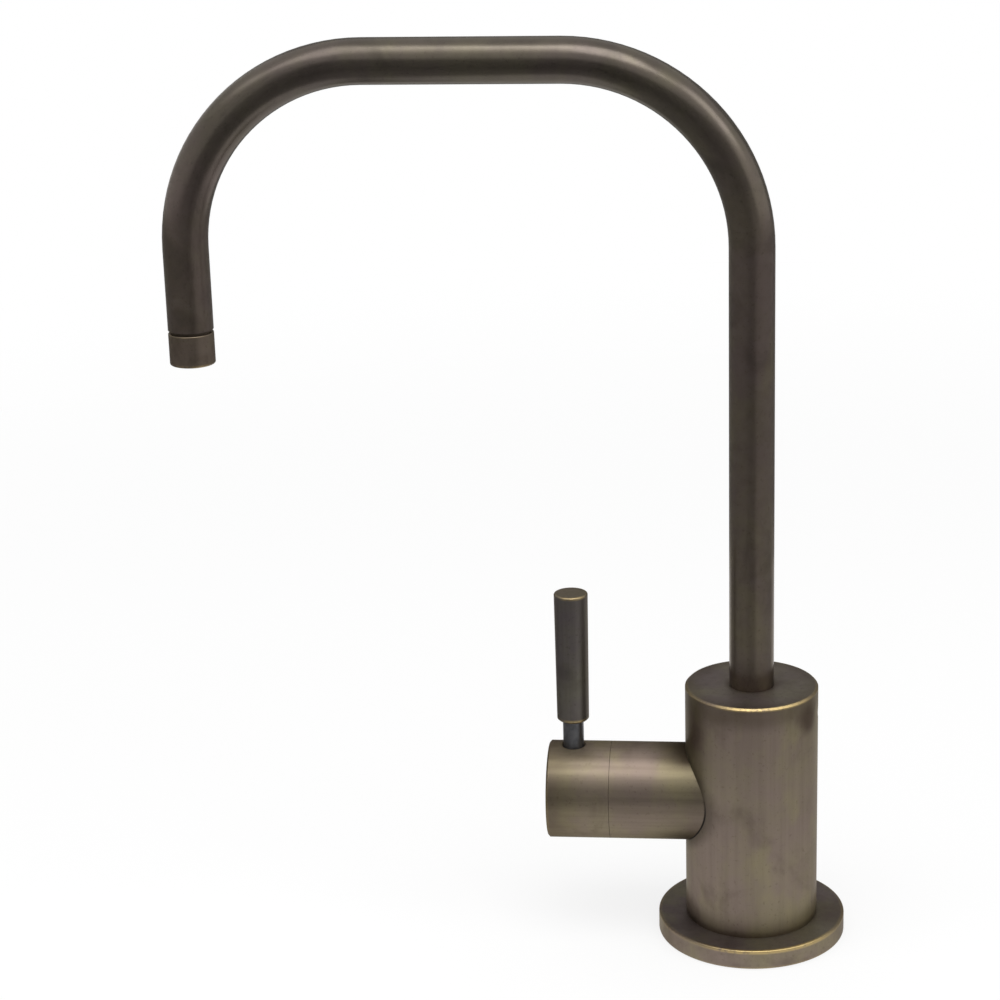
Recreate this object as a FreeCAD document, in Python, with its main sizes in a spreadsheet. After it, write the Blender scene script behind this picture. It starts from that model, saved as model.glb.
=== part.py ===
import FreeCAD, Part
import Sketcher

import math
import os

# Deck-mounted hot water tap: a bent spout that swivels on a round body, and a side arm whose end hub
# carries a pin lever.
# Frame: millimetres, +Z up, the deck's top face is z = 0 and the tap's upright axis is x = y = 0.
# The spout and the side arm both point along -X.

# name, value in millimetres or degrees, meaning
SIZES = (
    ("flange_od", "54", "base flange, across"),
    ("flange_thickness", "5.5", "base flange, height above the deck"),
    ("edge_break", "0.5", "bevel on the edges that show"),
    ("gasket_margin", "3", "flange's rim outside the deck gasket"),
    ("gasket_hole_gap", "1", "radial gap from the deck gasket's hole to the shank"),
    ("gasket_thickness", "1.8", "deck gasket, sunk flush in the flange"),
    ("body_od", "38", "upright body, across"),
    ("body_top", "76", "upright body, top face above the deck"),
    ("spigot_wall", "3", "body's locating spigot, wall round the shank"),
    ("spigot_gap", "0.2", "spigot above the deck gasket"),
    ("shank_od", "24", "threaded shank, major diameter"),
    ("tail_room", "0.8", "radial gap from the tails to the shank's bore"),
    ("shank_engagement", "12", "shank, length screwed into the body"),
    ("thread_spare", "6.5", "shank, thread that shows below the nut"),
    ("pilot_step", "1", "shank, radial step to the plain lead-in at its lower end"),
    ("pilot_length", "8", "shank, length of the lead-in"),
    ("thread_pitch", "1.5", "shank, from one thread ring to the next"),
    ("thread_depth", "0.9", "shank, radial depth of the thread"),
    ("thread_flank", "30", "degrees from a thread ring's plane to its flank"),
    ("thread_gap", "0.1", "radial gap of a screwed pair"),
    ("deck_thickness", "30", "deck that the nut is drawn up on"),
    ("washer_play", "0.3", "radial play of the clamp washers on the shank"),
    ("rubber_washer_od", "44", "rubber clamp washer, across"),
    ("rubber_washer_height", "3", "rubber clamp washer, thickness"),
    ("steel_washer_od", "42", "steel clamp washer, across"),
    ("steel_washer_height", "1.5", "steel clamp washer, thickness"),
    ("nut_wall", "6", "clamp nut, from the shank to a flat"),
    ("nut_height", "9", "clamp nut, height"),
    ("nut_bevel", "1.6", "clamp nut, height of the bevel on its corners"),
    ("tail_circle", "4.7", "water tails, distance of each from the tap's axis"),
    ("tail_angle", "60", "degrees from +X to each of the two tank tails"),
    ("tail_od", "7", "water tail, across"),
    ("tail_wall", "1.1", "water tail, wall"),
    ("tail_end_od", "6.35", "water tail, push-fit end"),
    ("tail_end_length", "25", "water tail, length of the push-fit end"),
    ("tail_socket", "6", "water tail, depth in the body"),
    ("passage_bore", "3.2", "water passages in the body"),
    ("joint_gap", "0.05", "radial gap of a brazed or pressed pair"),
    ("running_gap", "0.05", "radial gap of a pair that turns"),
    ("tube_od", "12.7", "spout tube, across"),
    ("tube_wall", "1", "spout tube, wall"),
    ("bend_radius", "51", "spout tube, centre line of both bends"),
    ("spout_reach", "156", "from the tap's axis to the outlet's axis"),
    ("spout_height", "254", "centre line of the level run above the deck"),
    ("outlet_height", "170", "outlet's mouth above the deck"),
    ("spout_bore_depth", "22", "spout's bore in the body"),
    ("tube_entry", "4", "tube's end below the body's top face"),
    ("insert_plug", "8", "swivel insert, length inside the tube"),
    ("insert_wall", "1.8", "swivel insert, wall of its plug"),
    ("insert_floor_gap", "0.3", "swivel insert above the bore's floor"),
    ("retainer_depth", "8", "retaining groove below the body's top face"),
    ("retainer_width", "2.2", "retaining groove, width"),
    ("retainer_groove_depth", "1.45", "retaining groove, how deep it is cut"),
    ("glide_depth", "11", "glide ring below the body's top face"),
    ("glide_height", "1.6", "glide ring, height"),
    ("glide_thickness", "0.94", "glide ring, radial thickness"),
    ("glide_split", "0.8", "glide ring, width of its split"),
    ("ring_pitch", "4", "distance between the two spout rings"),
    ("ring_depth", "14", "upper spout ring's middle below the body's top face"),
    ("ring_section", "1.3", "spout ring, section"),
    ("ring_groove_width", "1.8", "spout ring groove, width"),
    ("ring_bore_gap", "0.03", "spout ring to the body's bore"),
    ("grub_od", "4", "grub screws, major diameter"),
    ("grub_length", "6", "grub screws, length of the threaded part"),
    ("grub_key", "2", "grub screws, key across flats"),
    ("grub_key_depth", "2.4", "grub screws, depth of the key socket"),
    ("dog_od", "2", "retaining screw's dog point, across"),
    ("dog_length", "1.9", "retaining screw's dog point, length"),
    ("dog_gap", "0.3", "dog point above the groove's root"),
    ("outlet_shell_length", "9", "outlet shell, length"),
    ("outlet_neck_gap", "0.9", "shadow groove between the tube and the shell"),
    ("outlet_neck_depth", "0.65", "shadow groove, how deep it is"),
    ("outlet_plug", "7", "outlet adapter, length inside the tube"),
    ("outlet_thread", "4.4", "outlet adapter, length inside the shell"),
    ("adapter_wall", "1.1", "outlet adapter, wall of its plug"),
    ("outlet_wall", "0.95", "outlet shell, wall"),
    ("outlet_lip", "1", "outlet shell, thickness of its lip"),
    ("outlet_lip_width", "0.7", "outlet shell, how far its lip reaches in"),
    ("outlet_washer_height", "1", "outlet washer, thickness"),
    ("stream_hole", "1.3", "stream straightener, holes"),
    ("stream_pitch", "1.75", "stream straightener, step from ring to ring"),
    ("arm_od", "28", "side arm, across"),
    ("arm_height", "42.5", "side arm's axis above the deck"),
    ("arm_reach", "58.5", "tap's axis to the side arm's end face"),
    ("arm_wall", "2", "side arm, wall round the hub bush"),
    ("arm_shoulder", "3", "side arm, radial step down to its spigot in the body"),
    ("arm_socket_floor", "8", "tap's axis to the floor of the arm's socket"),
    ("valve_inlet_bore", "5", "hole on the arm's axis that feeds the valve"),
    ("valve_return_bore", "2.6", "hole beside the arm's axis that leads back"),
    ("cartridge_recess", "4.6", "cartridge's outer face below the arm's seam"),
    ("cartridge_thread", "6.5", "cartridge, length of its threaded part"),
    ("nose_length", "12", "cartridge nose, length"),
    ("nose_wall", "0.7", "cartridge nose, wall round the disc chamber"),
    ("nose_gap", "1", "valve seat to the cartridge's nose"),
    ("cartridge_seal_height", "1.6", "cartridge seal, thickness"),
    ("chamber_od", "12.8", "disc chamber in the cartridge"),
    ("chamber_depth", "10.4", "disc chamber, depth from the nose"),
    ("window_width", "6", "cartridge windows, width"),
    ("window_length", "4.4", "cartridge windows, length"),
    ("window_start", "4.1", "cartridge windows, from the nose"),
    ("stop_wall_height", "2.4", "stop wall on the cartridge's outer face"),
    ("stop_wall_inset", "1", "stop wall, radial step in from the cavity's wall"),
    ("stop_wall_width", "2.8", "stop wall, radial thickness"),
    ("disc_gap", "0.05", "radial gap round the ceramic discs"),
    ("fixed_disc_height", "3", "fixed disc, thickness"),
    ("moving_disc_height", "2.8", "moving disc, thickness"),
    ("disc_key_width", "2", "cartridge keys that hold the fixed disc, width"),
    ("disc_key_height", "0.8", "cartridge keys that hold the fixed disc, height"),
    ("disc_key_play", "0.05", "fixed disc round its keys"),
    ("seat_seal_height", "2.4", "seat seal, thickness"),
    ("seat_seal_gap", "0.1", "seat seal inside the cartridge keys"),
    ("seat_seal_width", "1", "seat seal, radial width"),
    ("disc_port", "3", "fixed disc, each port"),
    ("disc_port_radius", "2.9", "fixed disc, ports from the axis"),
    ("disc_notch", "7.6", "moving disc, each notch"),
    ("drive_slot_width", "2", "moving disc, drive slot"),
    ("drive_slot_depth", "1.2", "moving disc, drive slot"),
    ("drive_play", "0.05", "tang in the drive slot, each side"),
    ("spindle_od", "8", "spindle in the cartridge"),
    ("spindle_step", "0.2", "spindle, radial step down to its end in the hub"),
    ("spindle_flat_depth", "1", "spindle, depth of its flat"),
    ("spindle_end_play", "0.2", "drive head to the chamber's end"),
    ("spindle_setback", "5.5", "spindle's outer end below the arm's end face"),
    ("spindle_ring_section", "1.3", "spindle ring, section"),
    ("spindle_ring_groove", "1.8", "spindle ring groove, width"),
    ("spindle_ring_start", "2.2", "inner spindle ring's middle from the chamber's end"),
    ("spindle_ring_pitch", "3", "distance between the spindle rings"),
    ("clip_height", "0.8", "spindle clip, thickness"),
    ("clip_stand", "1.3", "spindle clip, how far it stands out of the spindle"),
    ("clip_groove_depth", "0.8", "spindle clip groove, depth"),
    ("clip_opening", "4.6", "spindle clip, opening"),
    ("clip_play", "0.05", "spindle clip in its groove, each side"),
    ("stop_washer_height", "1.2", "stop washer, thickness"),
    ("stop_washer_gap", "0.8", "stop washer's round part inside the stop wall"),
    ("stop_tab_width", "5", "stop washer, tab"),
    ("stop_tab_inset", "0.5", "stop washer's tab inside the stop wall's outer face"),
    ("lever_travel", "90", "degrees that the lever turns from closed to open"),
    ("stop_play", "1", "degrees of play at each end of the travel"),
    ("hub_width", "18", "lever hub, along the arm"),
    ("hub_seam", "0.1", "seam between the arm and the hub"),
    ("hub_spring_room", "3.6", "spring room sunk in the hub's inner face"),
    ("bush_wall", "2", "hub bush, wall"),
    ("bush_seat", "4.2", "hub bush, length in the arm"),
    ("bush_end_play", "0.1", "hub bush to the floor of the hub's spring room"),
    ("spring_wire", "1.2", "return spring, wire"),
    ("spring_turns", "3", "return spring, turns"),
    ("spring_pitch", "1.4", "return spring, pitch"),
    ("spring_bend", "0.9", "return spring, wire's bend from the coil into each leg"),
    ("spring_leg", "1.5", "return spring, length of each leg in its hole"),
    ("spring_hole_gap", "0.2", "spring leg in its hole, all round"),
    ("stud_od", "6", "lever stud, across"),
    ("stud_engagement", "7", "lever stud, length in the hub"),
    ("stud_in_barrel", "8", "lever stud, length in the barrel"),
    ("stud_shown", "8", "lever stud, length that shows"),
    ("stud_countersink", "0.5", "bevel round the stud's hole"),
    ("barrel_low_od", "9.2", "lever barrel, across its lower end"),
    ("barrel_high_od", "9.7", "lever barrel, across its upper end"),
    ("barrel_length", "38.5", "lever barrel, length"),
    ("barrel_foot", "0.5", "lever barrel, bevel at its lower end"),
    ("barrel_crown", "0.5", "lever barrel, bevel at its upper end"),
)

doc = FreeCAD.newDocument("hot_water_tap")
sheet = doc.addObject("Spreadsheet::Sheet", "dims")


class Size:
    """A number and the formula on the sheet's cells that it comes from."""

    def __init__(self, value, formula):
        self.value = float(value)
        self.formula = formula

    def __add__(self, other):
        other = as_size(other)
        return Size(self.value + other.value, f"({self.formula} + {other.formula})")

    def __sub__(self, other):
        other = as_size(other)
        return Size(self.value - other.value, f"({self.formula} - {other.formula})")

    def __mul__(self, other):
        other = as_size(other)
        return Size(self.value * other.value, f"({self.formula} * {other.formula})")

    def __truediv__(self, other):
        other = as_size(other)
        return Size(self.value / other.value, f"({self.formula} / {other.formula})")

    def __neg__(self):
        return Size(-self.value, f"(-{self.formula})")


def as_size(number):
    """A plain number as a Size."""
    return number if isinstance(number, Size) else Size(number, str(number))


def root(size):
    """The square root of a Size."""
    return Size(math.sqrt(size.value), f"sqrt({size.formula})")


def sine(degrees):
    """The sine of an angle that is held in degrees."""
    return Size(math.sin(math.radians(degrees.value)), f"sin({degrees.formula} * 1 deg)")


def cosine(degrees):
    """The cosine of an angle that is held in degrees."""
    return Size(math.cos(math.radians(degrees.value)), f"cos({degrees.formula} * 1 deg)")


def whole(size):
    """The whole number just below a Size."""
    return Size(math.floor(size.value), f"floor({size.formula})")


def angle_of_sine(ratio):
    """The angle, in degrees, that has this sine."""
    return Size(math.degrees(math.asin(ratio.value)), f"(asin({ratio.formula}) / 1 deg)")


def fill_sheet():
    """Writes the sizes into the sheet and returns them by name."""
    sizes = {}
    for row, (name, value, meaning) in enumerate(SIZES, start=1):
        sheet.set(f"A{row}", name)
        sheet.set(f"B{row}", value)
        sheet.setAlias(f"B{row}", name)
        sheet.set(f"C{row}", meaning)
        sizes[name] = Size(value, f"dims.{name}")
    doc.recompute()
    return sizes


D = fill_sheet()
ZERO = as_size(0)
DIRECTIONS = {
    "up": FreeCAD.Rotation(FreeCAD.Vector(0, 0, 1), 0),
    "down": FreeCAD.Rotation(FreeCAD.Vector(1, 0, 0), 180),
    "+x": FreeCAD.Rotation(FreeCAD.Vector(0, 1, 0), 90),
    "-x": FreeCAD.Rotation(FreeCAD.Vector(0, 1, 0), -90),
    "-x, rolled": FreeCAD.Rotation(FreeCAD.Vector(0, 1, 0), -90)
    * FreeCAD.Rotation(FreeCAD.Vector(0, 0, 1), -90),
}

# the shank and what goes round it
SHANK_BORE = D["tail_circle"] + D["tail_od"] / 2 + D["tail_room"]
SHANK_PILOT = D["shank_od"] / 2 - D["pilot_step"]
SPIGOT_RADIUS = D["shank_od"] / 2 + D["spigot_wall"]
NUT_FLAT = D["shank_od"] / 2 + D["nut_wall"]

# heights above the deck
SPIGOT_END = D["gasket_thickness"] + D["spigot_gap"]
SHANK_CEILING = SPIGOT_END + D["shank_engagement"]
WASHER_TOP = -D["deck_thickness"]
NUT_TOP = WASHER_TOP - D["rubber_washer_height"] - D["steel_washer_height"]
NUT_FOOT = NUT_TOP - D["nut_height"]
SHANK_FOOT = NUT_FOOT - D["thread_spare"] - D["pilot_length"]
SPOUT_BORE_RADIUS = D["tube_od"] / 2 + D["running_gap"]
SPOUT_BORE_FLOOR = D["body_top"] - D["spout_bore_depth"]
TUBE_FOOT = D["body_top"] - D["tube_entry"]
RETAINER_HEIGHT = D["body_top"] - D["retainer_depth"]
TAIL_TOP = SHANK_CEILING + D["tail_socket"]
TUBE_MOUTH = D["outlet_height"] + D["outlet_shell_length"] + D["outlet_neck_gap"]

# radii of the grooves in the swivel insert
RETAINER_ROOT = D["tube_od"] / 2 - D["retainer_groove_depth"]
GLIDE_OUTER = SPOUT_BORE_RADIUS - D["ring_bore_gap"]
GLIDE_ROOT = GLIDE_OUTER - D["glide_thickness"] - D["ring_bore_gap"]

# places along the side arm, from the tap's axis outwards
HUB_FACE = D["arm_reach"] - D["hub_width"]
HOUSING_END = HUB_FACE - D["hub_seam"]
BUSH_FLOOR = HOUSING_END - D["bush_seat"]
HUB_ROOM_FLOOR = HUB_FACE + D["hub_spring_room"]
LEVER_PLACE = (HUB_ROOM_FLOOR + D["arm_reach"]) / 2
CARTRIDGE_FACE = HOUSING_END - D["cartridge_recess"]
THREAD_START = CARTRIDGE_FACE - D["cartridge_thread"]
NOSE = THREAD_START - D["nose_length"]
SEAT = NOSE - D["nose_gap"]
CHAMBER_END = NOSE + D["chamber_depth"]
SEAL_FACE = SEAT + D["seat_seal_height"]
DISC_FACE = SEAL_FACE + D["fixed_disc_height"]
DRIVE_FACE = DISC_FACE + D["moving_disc_height"]
STOP_WALL_END = CARTRIDGE_FACE + D["stop_wall_height"]
CLIP_START = CARTRIDGE_FACE + D["clip_play"]
STOP_WASHER_START = CLIP_START + D["clip_height"] + D["clip_play"] * 2
SPINDLE_END = D["arm_reach"] - D["spindle_setback"]

# radii in the side arm
BUSH_RADIUS = D["arm_od"] / 2 - D["arm_wall"]
CAVITY_RADIUS = BUSH_RADIUS - D["bush_wall"]
ARM_SPIGOT_RADIUS = D["arm_od"] / 2 - D["arm_shoulder"]
CHAMBER_RADIUS = D["chamber_od"] / 2
NOSE_RADIUS = CHAMBER_RADIUS + D["nose_wall"]
STOP_WALL_OUTER = CAVITY_RADIUS - D["stop_wall_inset"]
STOP_WALL_INNER = STOP_WALL_OUTER - D["stop_wall_width"]
SPRING_RADIUS = (STOP_WALL_INNER + STOP_WALL_OUTER) / 2
SPRING_ROUND = SPRING_RADIUS * (2 * math.pi)
SPRING_STEP = root(SPRING_ROUND * SPRING_ROUND + D["spring_pitch"] * D["spring_pitch"])
SPRING_DROP = D["spring_bend"] * SPRING_ROUND / SPRING_STEP
SPRING_SIDE = D["spring_bend"] - D["spring_bend"] * D["spring_pitch"] / SPRING_STEP
SPINDLE_RADIUS = D["spindle_od"] / 2
SPINDLE_END_RADIUS = SPINDLE_RADIUS - D["spindle_step"]
SPINDLE_FLAT = SPINDLE_END_RADIUS - D["spindle_flat_depth"]
CLIP_ROOT = SPINDLE_RADIUS - D["clip_groove_depth"]

# the hole that leads back from the valve runs in the tank tail's own plane
RETURN_SIDE = D["tail_circle"] * sine(D["tail_angle"])
RETURN_RADIUS = (NOSE_RADIUS + CAVITY_RADIUS) / 2
RETURN_DROP = root(RETURN_RADIUS * RETURN_RADIUS - RETURN_SIDE * RETURN_SIDE)


def bind(thing, prop, size):
    """Ties one property of a feature to the sheet."""
    thing.setExpression(prop, as_size(size).formula)


def place(thing, x=ZERO, y=ZERO, z=ZERO, facing="up"):
    """Puts a feature or a body at a point, turned so that its own Z axis faces that way."""
    point = FreeCAD.Vector(as_size(x).value, as_size(y).value, as_size(z).value)
    thing.Placement = FreeCAD.Placement(point, DIRECTIONS[facing])
    for axis, size in (("x", x), ("y", y), ("z", z)):
        bind(thing, f"Placement.Base.{axis}", size)


def new_body(name):
    """An empty body that becomes one sub-part."""
    body = doc.addObject("PartDesign::Body", name)
    body.Label = name
    return body


def on_arm(body):
    """Lays a body along the side arm: its own Z runs outwards from the tap's axis and its X runs up."""
    place(body, z=D["arm_height"], facing="-x")
    return body


def at_lever(body):
    """Stands a body on the lever's axis, with heights measured from the side arm's axis."""
    place(body, x=-LEVER_PLACE, z=D["arm_height"])
    return body


def at_outlet(body):
    """Stands a body on the outlet's axis, with heights measured from the outlet's mouth."""
    place(body, x=-D["spout_reach"], z=D["outlet_height"])
    return body


def new_sketch(body, name, plane):
    """A sketch on one of the body's own origin planes."""
    sketch = body.newObject("Sketcher::SketchObject", name)
    support = next(f for f in body.Origin.OriginFeatures if f.Role == plane)
    sketch.AttachmentSupport = [(support, "")]
    sketch.MapMode = "FlatFace"
    return sketch


def pin_point(sketch, line, end, x, y):
    """Fixes one end of a sketch line at a point, each coordinate tied to the sheet."""
    for kind, axis, size in (("DistanceX", -2, x), ("DistanceY", -1, y)):
        if size.formula == "0":
            sketch.addConstraint(Sketcher.Constraint("PointOnObject", line, end, axis))
            continue
        index = sketch.addConstraint(Sketcher.Constraint(kind, -1, 1, line, end, size.value))
        sketch.setExpression(f"Constraints[{index}]", size.formula)


def outline(body, name, points, plane="XZ_Plane"):
    """A closed outline of straight lines through points, each a pair of Sizes."""
    points = [(as_size(x), as_size(y)) for x, y in points]
    sketch = new_sketch(body, name, plane)
    corners = [FreeCAD.Vector(x.value, y.value, 0) for x, y in points]
    count = len(corners)
    for i in range(count):
        sketch.addGeometry(Part.LineSegment(corners[i], corners[(i + 1) % count]), False)
    for i in range(count):
        sketch.addConstraint(Sketcher.Constraint("Coincident", i, 2, (i + 1) % count, 1))
    for i, (x, y) in enumerate(points):
        pin_point(sketch, i, 1, x, y)
    return sketch


def turn(body, name, points, kind="PartDesign::Revolution"):
    """Adds, or cuts where kind is a groove, the round form that an outline of (radius, height) sweeps."""
    sketch = outline(body, name + "_outline", points)
    feature = body.newObject(kind, name)
    feature.Profile = sketch
    feature.ReferenceAxis = (sketch, ["V_Axis"])
    feature.Angle = 360
    sketch.Visibility = False
    return feature


def turned(name, points):
    """A sub-part that is turned from one outline of (radius, height)."""
    body = new_body(name)
    turn(body, name + "_turned", points)
    return body


def ring(name, inner, outer, low, high):
    """A plain ring or washer, given by its two radii and its two faces."""
    return turned(name, [(inner, low), (outer, low), (outer, high), (inner, high)])


def drill(body, name, radius, length, x=ZERO, y=ZERO, z=ZERO, facing="up"):
    """Cuts a round hole that starts at a point and runs the way it faces."""
    hole = body.newObject("PartDesign::SubtractiveCylinder", name)
    bind(hole, "Radius", radius)
    bind(hole, "Height", length)
    place(hole, x, y, z, facing)
    return hole


def block(body, name, kind, low, high):
    """Adds or cuts a box between two corners, each three Sizes."""
    low, high = [as_size(v) for v in low], [as_size(v) for v in high]
    box = body.newObject(kind, name)
    for side, a, b in zip(("Length", "Width", "Height"), low, high):
        bind(box, side, b - a)
    place(box, *low)
    return box


def key_socket(body, name, z, facing="down"):
    """Cuts a grub screw's hexagon socket, from the height of its mouth."""
    socket = body.newObject("PartDesign::SubtractivePrism", name)
    socket.Polygon = 6
    bind(socket, "Circumradius", D["grub_key"] / root(as_size(3)))
    bind(socket, "Height", D["grub_key_depth"])
    place(socket, z=z, facing=facing)


def make_base_flange():
    """The round flange that hides the deck hole, with a sunk seat for its gasket."""
    bore = SPIGOT_RADIUS + D["joint_gap"]
    rim = D["flange_od"] / 2
    top = D["flange_thickness"]
    seat = rim - D["gasket_margin"] + D["joint_gap"]
    turned("base_flange", [
        (bore, D["gasket_thickness"]),
        (seat, D["gasket_thickness"]),
        (seat, ZERO),
        (rim, ZERO),
        (rim, top - D["edge_break"]),
        (rim - D["edge_break"], top),
        (bore, top),
    ])


def make_flange_gasket():
    """The rubber gasket that lies flush in the flange's underside."""
    ring("flange_gasket", D["shank_od"] / 2 + D["gasket_hole_gap"],
         D["flange_od"] / 2 - D["gasket_margin"], ZERO, D["gasket_thickness"])


# angle of each water tail round the tap's axis, and the height that its passage rises to
COLD_ANGLE, TANK_ANGLE, HOT_ANGLE = as_size(180), D["tail_angle"], -D["tail_angle"]
TAILS = (
    ("cold_feed_tail", COLD_ANGLE, D["arm_height"]),
    ("tank_feed_tail", TANK_ANGLE, D["arm_height"] - RETURN_DROP),
    ("hot_return_tail", HOT_ANGLE, SPOUT_BORE_FLOOR),
)


def tail_point(angle):
    """Where a water tail stands, as x and y."""
    return D["tail_circle"] * cosine(angle), D["tail_circle"] * sine(angle)


def make_tap_body():
    """The solid upright body with its bores, sockets and water passages."""
    radius = D["body_od"] / 2
    thread = D["shank_od"] / 2 + D["thread_gap"]
    body = turned("tap_body", [
        (ZERO, SHANK_CEILING),
        (thread, SHANK_CEILING),
        (thread, SPIGOT_END),
        (SPIGOT_RADIUS, SPIGOT_END),
        (SPIGOT_RADIUS, D["flange_thickness"]),
        (radius, D["flange_thickness"]),
        (radius, D["body_top"] - D["edge_break"]),
        (radius - D["edge_break"], D["body_top"]),
        (SPOUT_BORE_RADIUS, D["body_top"]),
        (SPOUT_BORE_RADIUS, SPOUT_BORE_FLOOR),
        (ZERO, SPOUT_BORE_FLOOR),
    ])
    arm = D["arm_height"]
    drill(body, "arm_socket", ARM_SPIGOT_RADIUS + D["joint_gap"], radius,
          x=-D["arm_socket_floor"], z=arm, facing="-x")
    for name, angle, passage_top in TAILS:
        x, y = tail_point(angle)
        drill(body, name + "_socket", D["tail_od"] / 2 + D["joint_gap"], D["tail_socket"],
              x, y, SHANK_CEILING)
        drill(body, name + "_passage", D["passage_bore"] / 2, passage_top - SHANK_CEILING,
              x, y, SHANK_CEILING)
    cold_x, cold_y = tail_point(COLD_ANGLE)
    drill(body, "valve_feed", D["valve_inlet_bore"] / 2, D["arm_socket_floor"] + cold_x,
          cold_x, cold_y, arm, facing="-x")
    tank_x, tank_y = tail_point(TANK_ANGLE)
    drill(body, "valve_return", D["valve_return_bore"] / 2, D["arm_socket_floor"] + tank_x,
          tank_x, tank_y, arm - RETURN_DROP, facing="-x")
    drill(body, "retaining_hole", D["grub_od"] / 2, radius, z=RETAINER_HEIGHT, facing="+x")


def make_mounting_shank():
    """The shank that goes down through the deck: thread rings, and a plain lead-in at its end."""
    outer, shoulder = D["shank_od"] / 2, SHANK_FOOT + D["pilot_length"]
    body = turned("mounting_shank", [
        (SHANK_BORE, SHANK_FOOT),
        (SHANK_PILOT, SHANK_FOOT),
        (SHANK_PILOT, shoulder),
        (outer, shoulder),
        (outer, SHANK_CEILING),
        (SHANK_BORE, SHANK_CEILING),
    ])
    pitch, depth = D["thread_pitch"], D["thread_depth"]
    root_height = shoulder + pitch
    mouth = depth * 2 * sine(D["thread_flank"]) / cosine(D["thread_flank"])
    groove = turn(body, "thread_groove", [
        (outer - depth, root_height),
        (outer + depth, root_height - mouth),
        (outer + depth, root_height + mouth),
    ], "PartDesign::Groove")
    rings = whole((SHANK_CEILING - shoulder) / pitch) - 1
    pattern = body.newObject("PartDesign::LinearPattern", "thread_rings")
    pattern.Originals = [groove]
    pattern.Direction = (groove.Profile[0], ["V_Axis"])
    bind(pattern, "Occurrences", rings)
    bind(pattern, "Length", (rings - 1) * pitch)
    body.Tip = pattern


def make_clamp_washers():
    """The rubber and the steel washer that bear on the deck's underside."""
    hole = D["shank_od"] / 2 + D["washer_play"]
    steel_top = WASHER_TOP - D["rubber_washer_height"]
    ring("clamp_rubber_washer", hole, D["rubber_washer_od"] / 2, steel_top, WASHER_TOP)
    ring("clamp_steel_washer", hole, D["steel_washer_od"] / 2, NUT_TOP, steel_top)


def make_mounting_nut():
    """The hexagon nut that draws the tap down on the deck."""
    corner = NUT_FLAT * 2 / root(as_size(3))
    outside = corner * 2 - NUT_FLAT
    body = new_body("mounting_nut")
    prism = body.newObject("PartDesign::AdditivePrism", "hexagon")
    prism.Polygon = 6
    bind(prism, "Circumradius", corner)
    bind(prism, "Height", D["nut_height"])
    place(prism, z=NUT_FOOT)
    drill(body, "nut_thread", D["shank_od"] / 2 + D["thread_gap"], D["nut_height"], z=NUT_FOOT)
    for name, end, inward in (("top_bevel", NUT_TOP, -D["nut_bevel"]),
                              ("low_bevel", NUT_FOOT, D["nut_bevel"])):
        turn(body, name, [(NUT_FLAT, end), (outside, end), (outside, end + inward * 2),
                          (corner, end + inward)], "PartDesign::Groove")


def make_water_tails():
    """The three water tails that are brazed in the body and end in push-fit ends below the shank."""
    outer, end = D["tail_od"] / 2, D["tail_end_od"] / 2
    bore = outer - D["tail_wall"]
    shoulder = SHANK_FOOT
    foot = shoulder - D["tail_end_length"]
    for name, angle, _ in TAILS:
        tail = turned(name, [
            (bore, foot),
            (end, foot),
            (end, shoulder),
            (outer, shoulder),
            (outer, TAIL_TOP),
            (bore, TAIL_TOP),
        ])
        x, y = tail_point(angle)
        place(tail, x, y)


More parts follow.
